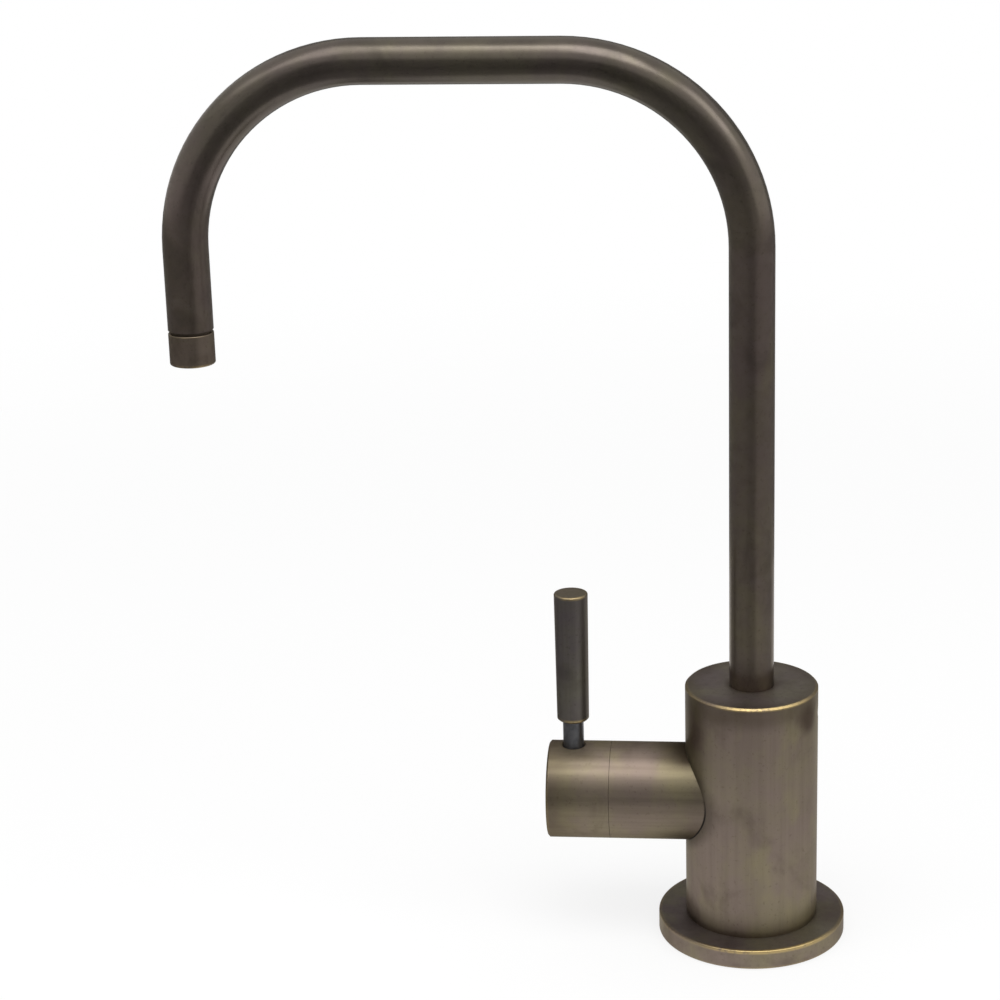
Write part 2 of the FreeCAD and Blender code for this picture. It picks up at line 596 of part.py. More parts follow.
def make_spout_tube():
    """The tube: a riser, a bend, a level run, a second bend and a short drop to the outlet."""
    body = new_body("spout_tube")
    bend, reach, height = D["bend_radius"], D["spout_reach"], D["spout_height"]
    path = new_sketch(body, "spout_path", "XZ_Plane")
    foot, rise, bend_value = TUBE_FOOT.value, (height - bend).value, bend.value
    top, far = height.value, reach.value
    point = FreeCAD.Vector
    lines = (
        Part.LineSegment(point(0, foot, 0), point(0, rise, 0)),
        Part.ArcOfCircle(Part.Circle(point(-bend_value, rise, 0), point(0, 0, 1), bend_value),
                         0, math.pi / 2),
        Part.LineSegment(point(-bend_value, top, 0), point(bend_value - far, top, 0)),
        Part.ArcOfCircle(Part.Circle(point(bend_value - far, rise, 0), point(0, 0, 1), bend_value),
                         math.pi / 2, math.pi),
        Part.LineSegment(point(-far, rise, 0), point(-far, TUBE_MOUTH.value, 0)),
    )
    for line in lines:
        path.addGeometry(line, False)
    for first, end, second, start in ((0, 2, 1, 1), (1, 2, 2, 1), (2, 2, 3, 1), (3, 2, 4, 1)):
        path.addConstraint(Sketcher.Constraint("Tangent", first, end, second, start))
    path.addConstraint(Sketcher.Constraint("Vertical", 0))
    path.addConstraint(Sketcher.Constraint("Horizontal", 2))
    path.addConstraint(Sketcher.Constraint("Vertical", 4))
    path.addConstraint(Sketcher.Constraint("PointOnObject", 0, 1, -2))
    for constraint, size in (
        (Sketcher.Constraint("Radius", 1, bend_value), bend),
        (Sketcher.Constraint("Radius", 3, bend_value), bend),
        (Sketcher.Constraint("DistanceY", -1, 1, 0, 1, foot), TUBE_FOOT),
        (Sketcher.Constraint("DistanceY", -1, 1, 2, 1, top), height),
        (Sketcher.Constraint("DistanceX", 4, 2, -1, 1, far), reach),
        (Sketcher.Constraint("DistanceY", -1, 1, 4, 2, TUBE_MOUTH.value), TUBE_MOUTH),
    ):
        index = path.addConstraint(constraint)
        path.setExpression(f"Constraints[{index}]", size.formula)
    section = new_sketch(body, "tube_section", "XY_Plane")
    bind(section, "AttachmentOffset.Base.z", TUBE_FOOT)
    outer, inner = D["tube_od"] / 2, D["tube_od"] / 2 - D["tube_wall"]
    for radius in (outer, inner):
        circle = section.addGeometry(Part.Circle(point(0, 0, 0), point(0, 0, 1), radius.value), False)
        section.addConstraint(Sketcher.Constraint("Coincident", circle, 3, -1, 1))
        index = section.addConstraint(Sketcher.Constraint("Radius", circle, radius.value))
        section.setExpression(f"Constraints[{index}]", radius.formula)
    pipe = body.newObject("PartDesign::AdditivePipe", "bent_tube")
    pipe.Profile = section
    pipe.Spine = path


def ring_height(index):
    """The middle height of a spout ring, counted from the upper one."""
    return D["body_top"] - D["ring_depth"] - D["ring_pitch"] * index


def make_swivel_insert():
    """The grooved insert brazed in the tube's foot, which turns in the body."""
    outer = D["tube_od"] / 2
    plug = outer - D["tube_wall"] - D["joint_gap"]
    bore = plug - D["insert_wall"]
    foot = SPOUT_BORE_FLOOR + D["insert_floor_gap"]
    body = turned("swivel_insert", [
        (bore, foot),
        (outer, foot),
        (outer, TUBE_FOOT),
        (plug, TUBE_FOOT),
        (plug, TUBE_FOOT + D["insert_plug"]),
        (bore, TUBE_FOOT + D["insert_plug"]),
    ])
    ring_root = SPOUT_BORE_RADIUS - D["ring_bore_gap"] - D["ring_section"] - D["ring_bore_gap"]
    glide = D["body_top"] - D["glide_depth"]
    grooves = [
        ("retaining_groove", RETAINER_HEIGHT, D["retainer_width"], RETAINER_ROOT),
        ("glide_groove", glide, D["glide_height"] + D["ring_bore_gap"] * 2, GLIDE_ROOT),
        ("upper_ring_groove", ring_height(0), D["ring_groove_width"], ring_root),
        ("lower_ring_groove", ring_height(1), D["ring_groove_width"], ring_root),
    ]
    for name, middle, width, floor in grooves:
        low, high = middle - width / 2, middle + width / 2
        turn(body, name, [(floor, low), (outer * 2, low), (outer * 2, high), (floor, high)],
             "PartDesign::Groove")


def torus(name, middle_radius, section, height):
    """A rubber ring of round section."""
    body = new_body(name)
    shape = body.newObject("PartDesign::AdditiveTorus", name + "_form")
    bind(shape, "Radius1", middle_radius)
    bind(shape, "Radius2", section / 2)
    place(shape, z=height)
    return body


def make_spout_rings():
    """The two rubber rings and the split glide ring on the swivel insert."""
    middle = SPOUT_BORE_RADIUS - D["ring_bore_gap"] - D["ring_section"] / 2
    for index, name in enumerate(("spout_ring_upper", "spout_ring_lower")):
        torus(name, middle, D["ring_section"], ring_height(index))
    low = D["body_top"] - D["glide_depth"] - D["glide_height"] / 2
    high = low + D["glide_height"]
    body = ring("glide_ring", GLIDE_ROOT + D["ring_bore_gap"], GLIDE_OUTER, low, high)
    half = D["glide_split"] / 2
    block(body, "split", "PartDesign::SubtractiveBox", (ZERO, -half, low), (GLIDE_OUTER * 2, half, high))


def make_spout_grub_screw():
    """The retaining screw at the back, whose dog point runs in the insert's groove."""
    dog = RETAINER_ROOT + D["dog_gap"]
    thread = dog + D["dog_length"]
    end = thread + D["grub_length"]
    radius = D["grub_od"] / 2 - D["thread_gap"] / 2
    body = turned("spout_grub_screw", [
        (ZERO, dog),
        (D["dog_od"] / 2, dog),
        (D["dog_od"] / 2, thread),
        (radius, thread),
        (radius, end),
        (ZERO, end),
    ])
    key_socket(body, "spout_key_socket", end)
    place(body, z=RETAINER_HEIGHT, facing="+x")


# heights above the outlet's mouth
LIP_TOP = D["outlet_lip"]
ADAPTER_FOOT = D["outlet_shell_length"] - D["outlet_thread"]
STREAM_TOP = ADAPTER_FOOT - D["outlet_washer_height"]
OUTLET_INNER = D["tube_od"] / 2 - D["outlet_wall"]
ADAPTER_PLUG = D["tube_od"] / 2 - D["tube_wall"] - D["joint_gap"]
ADAPTER_BORE = ADAPTER_PLUG - D["adapter_wall"]


def make_outlet_adapter():
    """The threaded adapter brazed in the tube's mouth, whose neck is the shadow groove."""
    neck_low = D["outlet_shell_length"]
    neck_high = neck_low + D["outlet_neck_gap"]
    neck = D["tube_od"] / 2 - D["outlet_neck_depth"]
    at_outlet(turned("outlet_adapter", [
        (ADAPTER_BORE, ADAPTER_FOOT),
        (OUTLET_INNER - D["joint_gap"], ADAPTER_FOOT),
        (OUTLET_INNER - D["joint_gap"], neck_low),
        (neck, neck_low),
        (neck, neck_high),
        (ADAPTER_PLUG, neck_high),
        (ADAPTER_PLUG, neck_high + D["outlet_plug"]),
        (ADAPTER_BORE, neck_high + D["outlet_plug"]),
    ]))


def make_outlet_shell():
    """The screwed outlet shell with the lip that holds the stream straightener."""
    outer, mouth = D["tube_od"] / 2, OUTLET_INNER - D["outlet_lip_width"]
    bevel = D["edge_break"]
    length = D["outlet_shell_length"]
    at_outlet(turned("outlet_shell", [
        (mouth, ZERO),
        (outer - bevel, ZERO),
        (outer, bevel),
        (outer, length - bevel / 2),
        (outer - bevel / 2, length),
        (OUTLET_INNER, length),
        (OUTLET_INNER, LIP_TOP),
        (mouth, LIP_TOP),
    ]))


def make_outlet_washer():
    """The rubber washer between the adapter and the stream straightener."""
    at_outlet(ring("outlet_washer", ADAPTER_BORE, OUTLET_INNER - D["joint_gap"],
                   STREAM_TOP, ADAPTER_FOOT))


def make_stream_straightener():
    """The holed plug that calms the stream: one hole, then rings of six and twelve."""
    body = turned("stream_straightener", [
        (ZERO, LIP_TOP),
        (OUTLET_INNER - D["joint_gap"], LIP_TOP),
        (OUTLET_INNER - D["joint_gap"], STREAM_TOP),
        (ZERO, STREAM_TOP),
    ])
    depth = STREAM_TOP - LIP_TOP
    drill(body, "middle_hole", D["stream_hole"] / 2, depth, z=LIP_TOP)
    for step, count in ((1, 6), (2, 12)):
        hole = drill(body, f"hole_{count}", D["stream_hole"] / 2, depth,
                     x=D["stream_pitch"] * step, z=LIP_TOP)
        pattern = body.newObject("PartDesign::PolarPattern", f"holes_{count}")
        pattern.Originals = [hole]
        axis = next(f for f in body.Origin.OriginFeatures if f.Role == "Z_Axis")
        pattern.Axis = (axis, [""])
        pattern.Angle = 360
        pattern.Occurrences = count
        body.Tip = pattern
    at_outlet(body)


def make_valve_housing():
    """The fixed part of the side arm: coped to the body, with the valve's cavity inside."""
    outer = D["arm_od"] / 2
    cope = D["body_od"] / 2 + D["joint_gap"]
    spigot_end = cope + D["edge_break"]
    bush = BUSH_RADIUS + D["joint_gap"]
    body = new_body("valve_housing")
    turn(body, "barrel", [(ZERO, ZERO), (outer, ZERO), (outer, HOUSING_END), (ZERO, HOUSING_END)])
    drill(body, "cope", cope, D["arm_od"] * 2, x=-D["arm_od"], facing="+x")
    floor = D["arm_socket_floor"]
    turn(body, "spigot", [(ZERO, floor), (ARM_SPIGOT_RADIUS, floor),
                          (ARM_SPIGOT_RADIUS, spigot_end), (ZERO, spigot_end)])
    turn(body, "cavity", [(ZERO, SEAT), (CAVITY_RADIUS, SEAT), (CAVITY_RADIUS, BUSH_FLOOR),
                          (bush, BUSH_FLOOR), (bush, HOUSING_END), (ZERO, HOUSING_END)],
         "PartDesign::Groove")
    drill(body, "inlet", D["valve_inlet_bore"] / 2, SEAT - floor, z=floor)
    drill(body, "outlet", D["valve_return_bore"] / 2, SEAT - floor,
          x=-RETURN_DROP, y=RETURN_SIDE, z=floor)
    on_arm(body)


def make_cartridge_body():
    """The screwed cartridge body: nose with two windows, thread, and the wall that stops the lever."""
    thread, shaft = CAVITY_RADIUS - D["joint_gap"], SPINDLE_RADIUS + D["running_gap"]
    body = turned("cartridge_body", [
        (CHAMBER_RADIUS, NOSE),
        (NOSE_RADIUS, NOSE),
        (NOSE_RADIUS, THREAD_START),
        (thread, THREAD_START),
        (thread, CARTRIDGE_FACE),
        (STOP_WALL_OUTER, CARTRIDGE_FACE),
        (STOP_WALL_OUTER, STOP_WALL_END),
        (STOP_WALL_INNER, STOP_WALL_END),
        (STOP_WALL_INNER, CARTRIDGE_FACE),
        (shaft, CARTRIDGE_FACE),
        (shaft, CHAMBER_END),
        (CHAMBER_RADIUS, CHAMBER_END),
    ])
    key, key_end = D["disc_key_width"] / 2, DISC_FACE - D["disc_key_play"] * 4
    key_floor, key_root = CHAMBER_RADIUS - D["disc_key_height"], (CHAMBER_RADIUS + NOSE_RADIUS) / 2
    block(body, "upper_key", "PartDesign::AdditiveBox",
          (key_floor, -key, SEAL_FACE), (key_root, key, key_end))
    block(body, "lower_key", "PartDesign::AdditiveBox",
          (-key_root, -key, SEAL_FACE), (-key_floor, key, key_end))
    half = D["window_width"] / 2
    start = NOSE + D["window_start"]
    block(body, "windows", "PartDesign::SubtractiveBox", (-half, -NOSE_RADIUS * 2, start),
          (half, NOSE_RADIUS * 2, start + D["window_length"]))
    inside, outside = STOP_WALL_INNER - D["edge_break"], STOP_WALL_OUTER + D["edge_break"]
    above = STOP_WALL_END + D["edge_break"]
    opening = turn(body, "stop_window", [(inside, CARTRIDGE_FACE), (outside, CARTRIDGE_FACE),
                                         (outside, above), (inside, above)], "PartDesign::Groove")
    tab_half_angle = angle_of_sine(D["stop_tab_width"] / 2 / STOP_WALL_INNER) + D["stop_play"]
    sketch = opening.Profile[0]
    sketch.AttachmentOffset = FreeCAD.Placement(
        FreeCAD.Vector(0, 0, 0), FreeCAD.Rotation(FreeCAD.Vector(0, 1, 0), 1))
    bind(sketch, "AttachmentOffset.Rotation.Angle", -tab_half_angle)
    bind(opening, "Angle", D["lever_travel"] + tab_half_angle * 2)
    drill(body, "spring_hole", D["spring_wire"] / 2 + D["spring_hole_gap"], D["stop_wall_height"],
          -SPRING_SIDE, -SPRING_RADIUS, CARTRIDGE_FACE)
    on_arm(body)


def make_seals_and_discs():
    """The seat seal, the two ceramic discs and the cartridge's outer seal."""
    disc = CHAMBER_RADIUS - D["disc_gap"]
    seal = CHAMBER_RADIUS - D["disc_key_height"] - D["seat_seal_gap"]
    on_arm(ring("seat_seal", seal - D["seat_seal_width"], seal, SEAT, SEAL_FACE))
    on_arm(ring("cartridge_seal", NOSE_RADIUS + D["joint_gap"], CAVITY_RADIUS - D["joint_gap"],
                THREAD_START - D["cartridge_seal_height"], THREAD_START))
    fixed = turned("fixed_disc", [(ZERO, SEAL_FACE), (disc, SEAL_FACE),
                                  (disc, DISC_FACE), (ZERO, DISC_FACE)])
    moving = turned("moving_disc", [(ZERO, DISC_FACE), (disc, DISC_FACE),
                                    (disc, DRIVE_FACE), (ZERO, DRIVE_FACE)])
    for side, sign in (("near", -1), ("far", 1)):
        drill(fixed, side + "_port", D["disc_port"] / 2, D["fixed_disc_height"],
              y=D["disc_port_radius"] * sign, z=SEAL_FACE)
        drill(moving, side + "_notch", D["disc_notch"] / 2, D["moving_disc_height"],
              x=CHAMBER_RADIUS * sign, z=DISC_FACE)
    key = D["disc_key_width"] / 2 + D["disc_key_play"]
    floor = CHAMBER_RADIUS - D["disc_key_height"] - D["disc_key_play"]
    block(fixed, "upper_key_notch", "PartDesign::SubtractiveBox",
          (floor, -key, SEAL_FACE), (disc * 2, key, DISC_FACE))
    block(fixed, "lower_key_notch", "PartDesign::SubtractiveBox",
          (-disc * 2, -key, SEAL_FACE), (-floor, key, DISC_FACE))
    half = D["drive_slot_width"] / 2
    block(moving, "drive_slot", "PartDesign::SubtractiveBox",
          (-half, -disc * 2, DRIVE_FACE - D["drive_slot_depth"]), (half, disc * 2, DRIVE_FACE))
    on_arm(fixed)
    on_arm(moving)


def spindle_ring_place(index):
    """The middle of a spindle ring along the side arm, counted from the inner one."""
    return CHAMBER_END + D["spindle_ring_start"] + D["spindle_ring_pitch"] * index


def make_spindle():
    """The spindle: a tang and drive head, a ringed shaft, and a flatted end in the hub."""
    head = CHAMBER_RADIUS - D["disc_gap"] * 2
    head_end = CHAMBER_END - D["spindle_end_play"]
    body = turned("spindle", [
        (ZERO, DRIVE_FACE),
        (head, DRIVE_FACE),
        (head, head_end),
        (SPINDLE_RADIUS, head_end),
        (SPINDLE_RADIUS, STOP_WASHER_START),
        (SPINDLE_END_RADIUS, STOP_WASHER_START),
        (SPINDLE_END_RADIUS, SPINDLE_END),
        (ZERO, SPINDLE_END),
    ])
    tang = D["drive_slot_width"] / 2 - D["drive_play"]
    reach = root(head * head - tang * tang)
    block(body, "tang", "PartDesign::AdditiveBox",
          (-tang, -reach, DRIVE_FACE - D["drive_slot_depth"] + D["drive_play"]),
          (tang, reach, DRIVE_FACE + D["drive_play"]))
    groove_root = SPINDLE_RADIUS + D["running_gap"] - D["ring_bore_gap"] * 2 - D["spindle_ring_section"]
    grooves = [(f"ring_groove_{i}", spindle_ring_place(i), D["spindle_ring_groove"], groove_root)
               for i in range(2)]
    grooves.append(("clip_groove", CLIP_START + D["clip_height"] / 2,
                    D["clip_height"] + D["clip_play"] * 2, CLIP_ROOT))
    outside = SPINDLE_RADIUS * 2
    for name, middle, width, floor in grooves:
        low, high = middle - width / 2, middle + width / 2
        turn(body, name, [(floor, low), (outside, low), (outside, high), (floor, high)],
             "PartDesign::Groove")
    block(body, "flat", "PartDesign::SubtractiveBox",
          (-outside, -outside, STOP_WASHER_START), (-SPINDLE_FLAT, outside, SPINDLE_END))
    on_arm(body)


def make_spindle_rings():
    """The two rubber rings on the spindle."""
    middle = SPINDLE_RADIUS + D["running_gap"] - D["ring_bore_gap"] - D["spindle_ring_section"] / 2
    for index, name in enumerate(("spindle_ring_inner", "spindle_ring_outer")):
        on_arm(torus(name, middle, D["spindle_ring_section"], spindle_ring_place(index)))


def make_spindle_clip():
    """The open clip that keeps the spindle in the cartridge."""
    outer = SPINDLE_RADIUS + D["clip_stand"]
    body = ring("spindle_clip", CLIP_ROOT + D["clip_play"], outer,
                CLIP_START, CLIP_START + D["clip_height"])
    half = D["clip_opening"] / 2
    block(body, "opening", "PartDesign::SubtractiveBox",
          (ZERO, -half, CLIP_START), (outer * 2, half, CLIP_START + D["clip_height"]))
    on_arm(body)


def flatted_bore(body, name, start, length):
    """Cuts the spindle's flatted section, with its fitting gap, out of a part on the side arm."""
    radius = SPINDLE_END_RADIUS + D["joint_gap"]
    flat = SPINDLE_FLAT + D["joint_gap"]
    sketch = new_sketch(body, name + "_outline", "XY_Plane")
    bind(sketch, "AttachmentOffset.Base.z", start)
    meet = math.acos(-flat.value / radius.value)
    side = radius.value * math.sin(meet)
    point = FreeCAD.Vector
    circle = Part.Circle(point(0, 0, 0), point(0, 0, 1), radius.value)
    sketch.addGeometry(Part.ArcOfCircle(circle, -meet, meet), False)
    sketch.addGeometry(Part.LineSegment(point(-flat.value, side, 0), point(-flat.value, -side, 0)), False)
    for rule in (("Coincident", 0, 3, -1, 1), ("Coincident", 0, 2, 1, 1), ("Coincident", 1, 2, 0, 1),
                 ("Vertical", 1)):
        sketch.addConstraint(Sketcher.Constraint(*rule))
    index = sketch.addConstraint(Sketcher.Constraint("Radius", 0, radius.value))
    sketch.setExpression(f"Constraints[{index}]", radius.formula)
    index = sketch.addConstraint(Sketcher.Constraint("DistanceX", 1, 1, -1, 1, flat.value))
    sketch.setExpression(f"Constraints[{index}]", flat.formula)
    cut = body.newObject("PartDesign::Pocket", name)
    cut.Profile = sketch
    cut.Type = "Length"
    cut.Reversed = True
    bind(cut, "Length", length)


def make_stop_washer():
    """The washer keyed on the spindle, whose tab meets the cartridge's stop wall at each end."""
    low = STOP_WASHER_START
    high = low + D["stop_washer_height"]
    radius = STOP_WALL_INNER - D["stop_washer_gap"]
    body = turned("stop_washer", [(ZERO, low), (radius, low), (radius, high), (ZERO, high)])
    half = D["stop_tab_width"] / 2
    block(body, "tab", "PartDesign::AdditiveBox", (-half, ZERO, low),
          (half, STOP_WALL_OUTER - D["stop_tab_inset"], high))
    flatted_bore(body, "washer_bore", low, D["stop_washer_height"])
    on_arm(body)


def make_return_spring():
    """The torsion spring: a coil whose wire bends at each end into a straight leg along the arm."""
    radius, bend, side, drop = (
        size.value for size in (SPRING_RADIUS, D["spring_bend"], SPRING_SIDE, SPRING_DROP))
    low = STOP_WALL_END.value + drop
    high = low + D["spring_turns"].value * D["spring_pitch"].value
    point = FreeCAD.Vector
    coil = Part.makeHelix(D["spring_pitch"].value, high - low, radius)
    coil.translate(point(0, 0, low))
    bends, legs = [], []
    for sign, end, tip in ((-1, low, STOP_WALL_END.value - D["spring_leg"].value),
                           (1, high, HUB_ROOM_FLOOR.value + D["spring_leg"].value)):
        centre = point(radius, sign * (side - bend), end + sign * drop)
        leg_top = point(radius, sign * side, end + sign * drop)
        halfway = (point(radius, 0, end) + leg_top) / 2 - centre
        bends.append(Part.Arc(point(radius, 0, end), centre + halfway.normalize() * bend, leg_top).toShape())
        legs.append(Part.makeLine(point(radius, sign * side, tip), leg_top))
    wire = Part.Wire(Part.__sortEdges__([legs[0], bends[0], *coil.Edges, bends[1], legs[1]]))
    start = point(radius, -side, STOP_WALL_END.value - D["spring_leg"].value)
    section = Part.Wire(Part.makeCircle(D["spring_wire"].value / 2, start, point(0, 0, 1)))
    spring = doc.addObject("Part::Feature", "return_spring")
    spring.Label = "return_spring"
    spring.Shape = wire.makePipeShell([section], True, False)
    place(spring, z=D["arm_height"], facing="-x, rolled")


def make_hub_bush():
    """The plain bush across the seam, on which the hub turns."""
    on_arm(ring("hub_bush", CAVITY_RADIUS, BUSH_RADIUS, BUSH_FLOOR, HUB_ROOM_FLOOR - D["bush_end_play"]))


def make_handle_hub():
    """The turning end of the side arm, which carries the lever and grips the spindle."""
    outer, end = D["arm_od"] / 2, D["arm_reach"]
    bush = BUSH_RADIUS + D["running_gap"]
    bevel = D["edge_break"]
    body = turned("handle_hub", [
        (ZERO, HUB_ROOM_FLOOR),
        (bush, HUB_ROOM_FLOOR),
        (bush, HUB_FACE),
        (outer, HUB_FACE),
        (outer, end - bevel),
        (outer - bevel, end),
        (ZERO, end),
    ])
    flatted_bore(body, "hub_bore", HUB_ROOM_FLOOR, SPINDLE_END + D["bush_end_play"] - HUB_ROOM_FLOOR)
    drill(body, "stud_hole", D["stud_od"] / 2 + D["joint_gap"], D["stud_engagement"] * 2,
          x=outer - D["stud_engagement"], z=LEVER_PLACE, facing="+x")
    sink = body.newObject("PartDesign::SubtractiveCone", "stud_countersink")
    bind(sink, "Radius1", D["stud_od"] / 2 + D["joint_gap"])
    bind(sink, "Radius2", D["stud_od"] / 2 + D["joint_gap"] + D["stud_countersink"] * 2)
    bind(sink, "Height", D["stud_countersink"] * 2)
    place(sink, x=outer - D["stud_countersink"], z=LEVER_PLACE, facing="+x")
    drill(body, "grub_hole", D["grub_od"] / 2, outer, z=LEVER_PLACE, facing="-x")
    drill(body, "hub_spring_hole", D["spring_wire"] / 2 + D["spring_hole_gap"],
          D["spring_leg"] + D["spring_hole_gap"], SPRING_SIDE, -SPRING_RADIUS, HUB_ROOM_FLOOR)
    on_arm(body)


def make_hub_grub_screw():
    """The grub screw under the hub that bears on the spindle's flat."""
    tip, end = SPINDLE_FLAT, SPINDLE_FLAT + D["grub_length"]
    radius = D["grub_od"] / 2 - D["thread_gap"] / 2
    body = turned("hub_grub_screw", [(ZERO, tip), (radius, tip), (radius, end), (ZERO, end)])
    key_socket(body, "hub_key_socket", end)
    place(body, x=-LEVER_PLACE, z=D["arm_height"], facing="down")


def make_lever():
    """The stud that shows as a dark stem, and the slightly tapered barrel on it."""
    stem = D["stud_od"] / 2
    hub_top = D["arm_od"] / 2
    foot = hub_top + D["stud_shown"]
    top = foot + D["barrel_length"]
    hole = stem + D["joint_gap"]
    low, high = D["barrel_low_od"] / 2, D["barrel_high_od"] / 2
    bottom = hub_top - D["stud_engagement"] + D["joint_gap"]
    at_lever(turned("lever_stud", [(ZERO, bottom), (stem, bottom), (stem, foot + D["stud_in_barrel"]),
                                   (ZERO, foot + D["stud_in_barrel"])]))
    crown = D["barrel_crown"]
    at_lever(turned("lever_barrel", [
        (hole, foot),
        (low - D["barrel_foot"], foot),
        (low, foot + D["barrel_foot"]),
        (high, top - crown),
        (high - crown, top),
        (ZERO, top),
        (ZERO, foot + D["stud_in_barrel"] + D["joint_gap"]),
        (hole, foot + D["stud_in_barrel"] + D["joint_gap"]),
    ]))


def build():
    """Makes every sub-part."""
    make_base_flange()
    make_flange_gasket()
    make_tap_body()
    make_mounting_shank()
    make_clamp_washers()
    make_mounting_nut()
    make_water_tails()
    make_spout_tube()
    make_swivel_insert()
    make_spout_rings()
    make_spout_grub_screw()
    make_outlet_adapter()
    make_outlet_shell()
    make_outlet_washer()
    make_stream_straightener()
    make_valve_housing()
    make_cartridge_body()
    make_seals_and_discs()
    make_spindle()
    make_spindle_rings()
    make_spindle_clip()
    make_stop_washer()
    make_return_spring()
    make_hub_bush()
    make_handle_hub()
    make_hub_grub_screw()
    make_lever()
    doc.recompute()


def is_sub_part(thing):
    """True for a body or a plain shape that stands for one sub-part."""
    return thing.TypeId in ("PartDesign::Body", "Part::Feature")


def export():
    """Stops on a failed feature or shape, then writes one file for each sub-part."""
    for thing in doc.Objects:
        bad = [state for state in thing.State if state in ("Invalid", "Error")]
        if bad:
            raise RuntimeError(f"{thing.Label} is {bad[0]}")
    parts = [thing for thing in doc.Objects if is_sub_part(thing)]
    for part in parts:
        if part.Shape.isNull() or not part.Shape.isValid():
            raise RuntimeError(f"{part.Label} has no valid shape")
    os.makedirs("parts", exist_ok=True)
    for part in parts:
        part.Shape.exportStep(f"parts/{part.Label}.step")


build()
export()
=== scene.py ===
import math

import bmesh
import bpy
from mathutils import Matrix, Vector


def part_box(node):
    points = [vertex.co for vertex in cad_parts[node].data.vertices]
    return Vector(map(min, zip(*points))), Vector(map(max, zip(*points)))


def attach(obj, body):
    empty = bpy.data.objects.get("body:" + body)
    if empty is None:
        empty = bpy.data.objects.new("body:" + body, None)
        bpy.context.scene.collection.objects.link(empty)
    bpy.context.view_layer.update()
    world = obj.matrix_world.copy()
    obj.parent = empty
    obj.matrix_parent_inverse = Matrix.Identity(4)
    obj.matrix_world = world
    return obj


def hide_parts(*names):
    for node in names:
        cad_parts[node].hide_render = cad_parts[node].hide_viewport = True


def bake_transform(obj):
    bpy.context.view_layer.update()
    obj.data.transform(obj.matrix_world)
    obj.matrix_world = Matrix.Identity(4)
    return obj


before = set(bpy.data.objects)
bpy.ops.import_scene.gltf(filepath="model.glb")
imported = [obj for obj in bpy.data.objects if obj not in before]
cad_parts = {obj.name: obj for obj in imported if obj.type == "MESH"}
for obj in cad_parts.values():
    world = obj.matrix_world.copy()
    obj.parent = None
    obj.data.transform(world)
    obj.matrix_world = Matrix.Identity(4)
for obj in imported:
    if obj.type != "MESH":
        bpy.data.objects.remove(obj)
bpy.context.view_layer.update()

bl_info = {
    "name": "Hot water tap",
    "version": (1, 0, 0),
    "blender": (4, 5, 0),
    "location": "3D View > Sidebar > Tap",
    "description": "Dresses a packed hot water tap and sets up its studio",
    "category": "Object",
}


def linear(red, green, blue):
    """A colour given as it looks on screen, 0 to 255, as the linear colour that shaders take."""
    channels = (value / 255 for value in (red, green, blue))
    return tuple(c / 12.92 if c <= 0.04045 else ((c + 0.055) / 1.055) ** 2.4 for c in channels)


def middle(node):
    """The middle of a CAD node's box."""
    low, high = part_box(node)
    return (low + high) / 2


# the heights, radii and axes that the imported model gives
BODY_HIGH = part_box("tap_body")[1]
FLANGE_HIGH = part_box("base_flange")[1]
ARM_LOW, ARM_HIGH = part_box("handle_hub")
BARREL_LOW, BARREL_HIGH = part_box("lever_barrel")
SHELL_LOW, SHELL_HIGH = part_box("outlet_shell")
SHANK_LOW, SHANK_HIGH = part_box("mounting_shank")
BODY_RADIUS = BODY_HIGH.x
FLANGE_RADIUS = FLANGE_HIGH.x
ARM_RADIUS = ARM_HIGH.y
ARM_AXIS = middle("handle_hub").z
LEVER_AXIS = middle("lever_barrel").x
OUTLET_AXIS = middle("outlet_shell").x
TUBE_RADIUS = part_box("spout_tube")[1].y
# a radius below which a point of an outline lies on the axis
ON_AXIS = 1e-9
# rows of points in one pitch of the thread, and how steeply its flanks rise
ROWS_PER_PITCH = 8
CREST_SLOPE = 1.25
# how much of an edge a rounding may take, and how long the flats beside it are for its reach
MOST_OF_EDGE = 0.45
FLAT_SHARE = 0.15
# how far right and how far forward the rims' painted highlight faces, as a direction: their bare brass shows
# most there
HIGHLIGHT_RIGHT, HIGHLIGHT_FORWARD = 0.26, 0.966


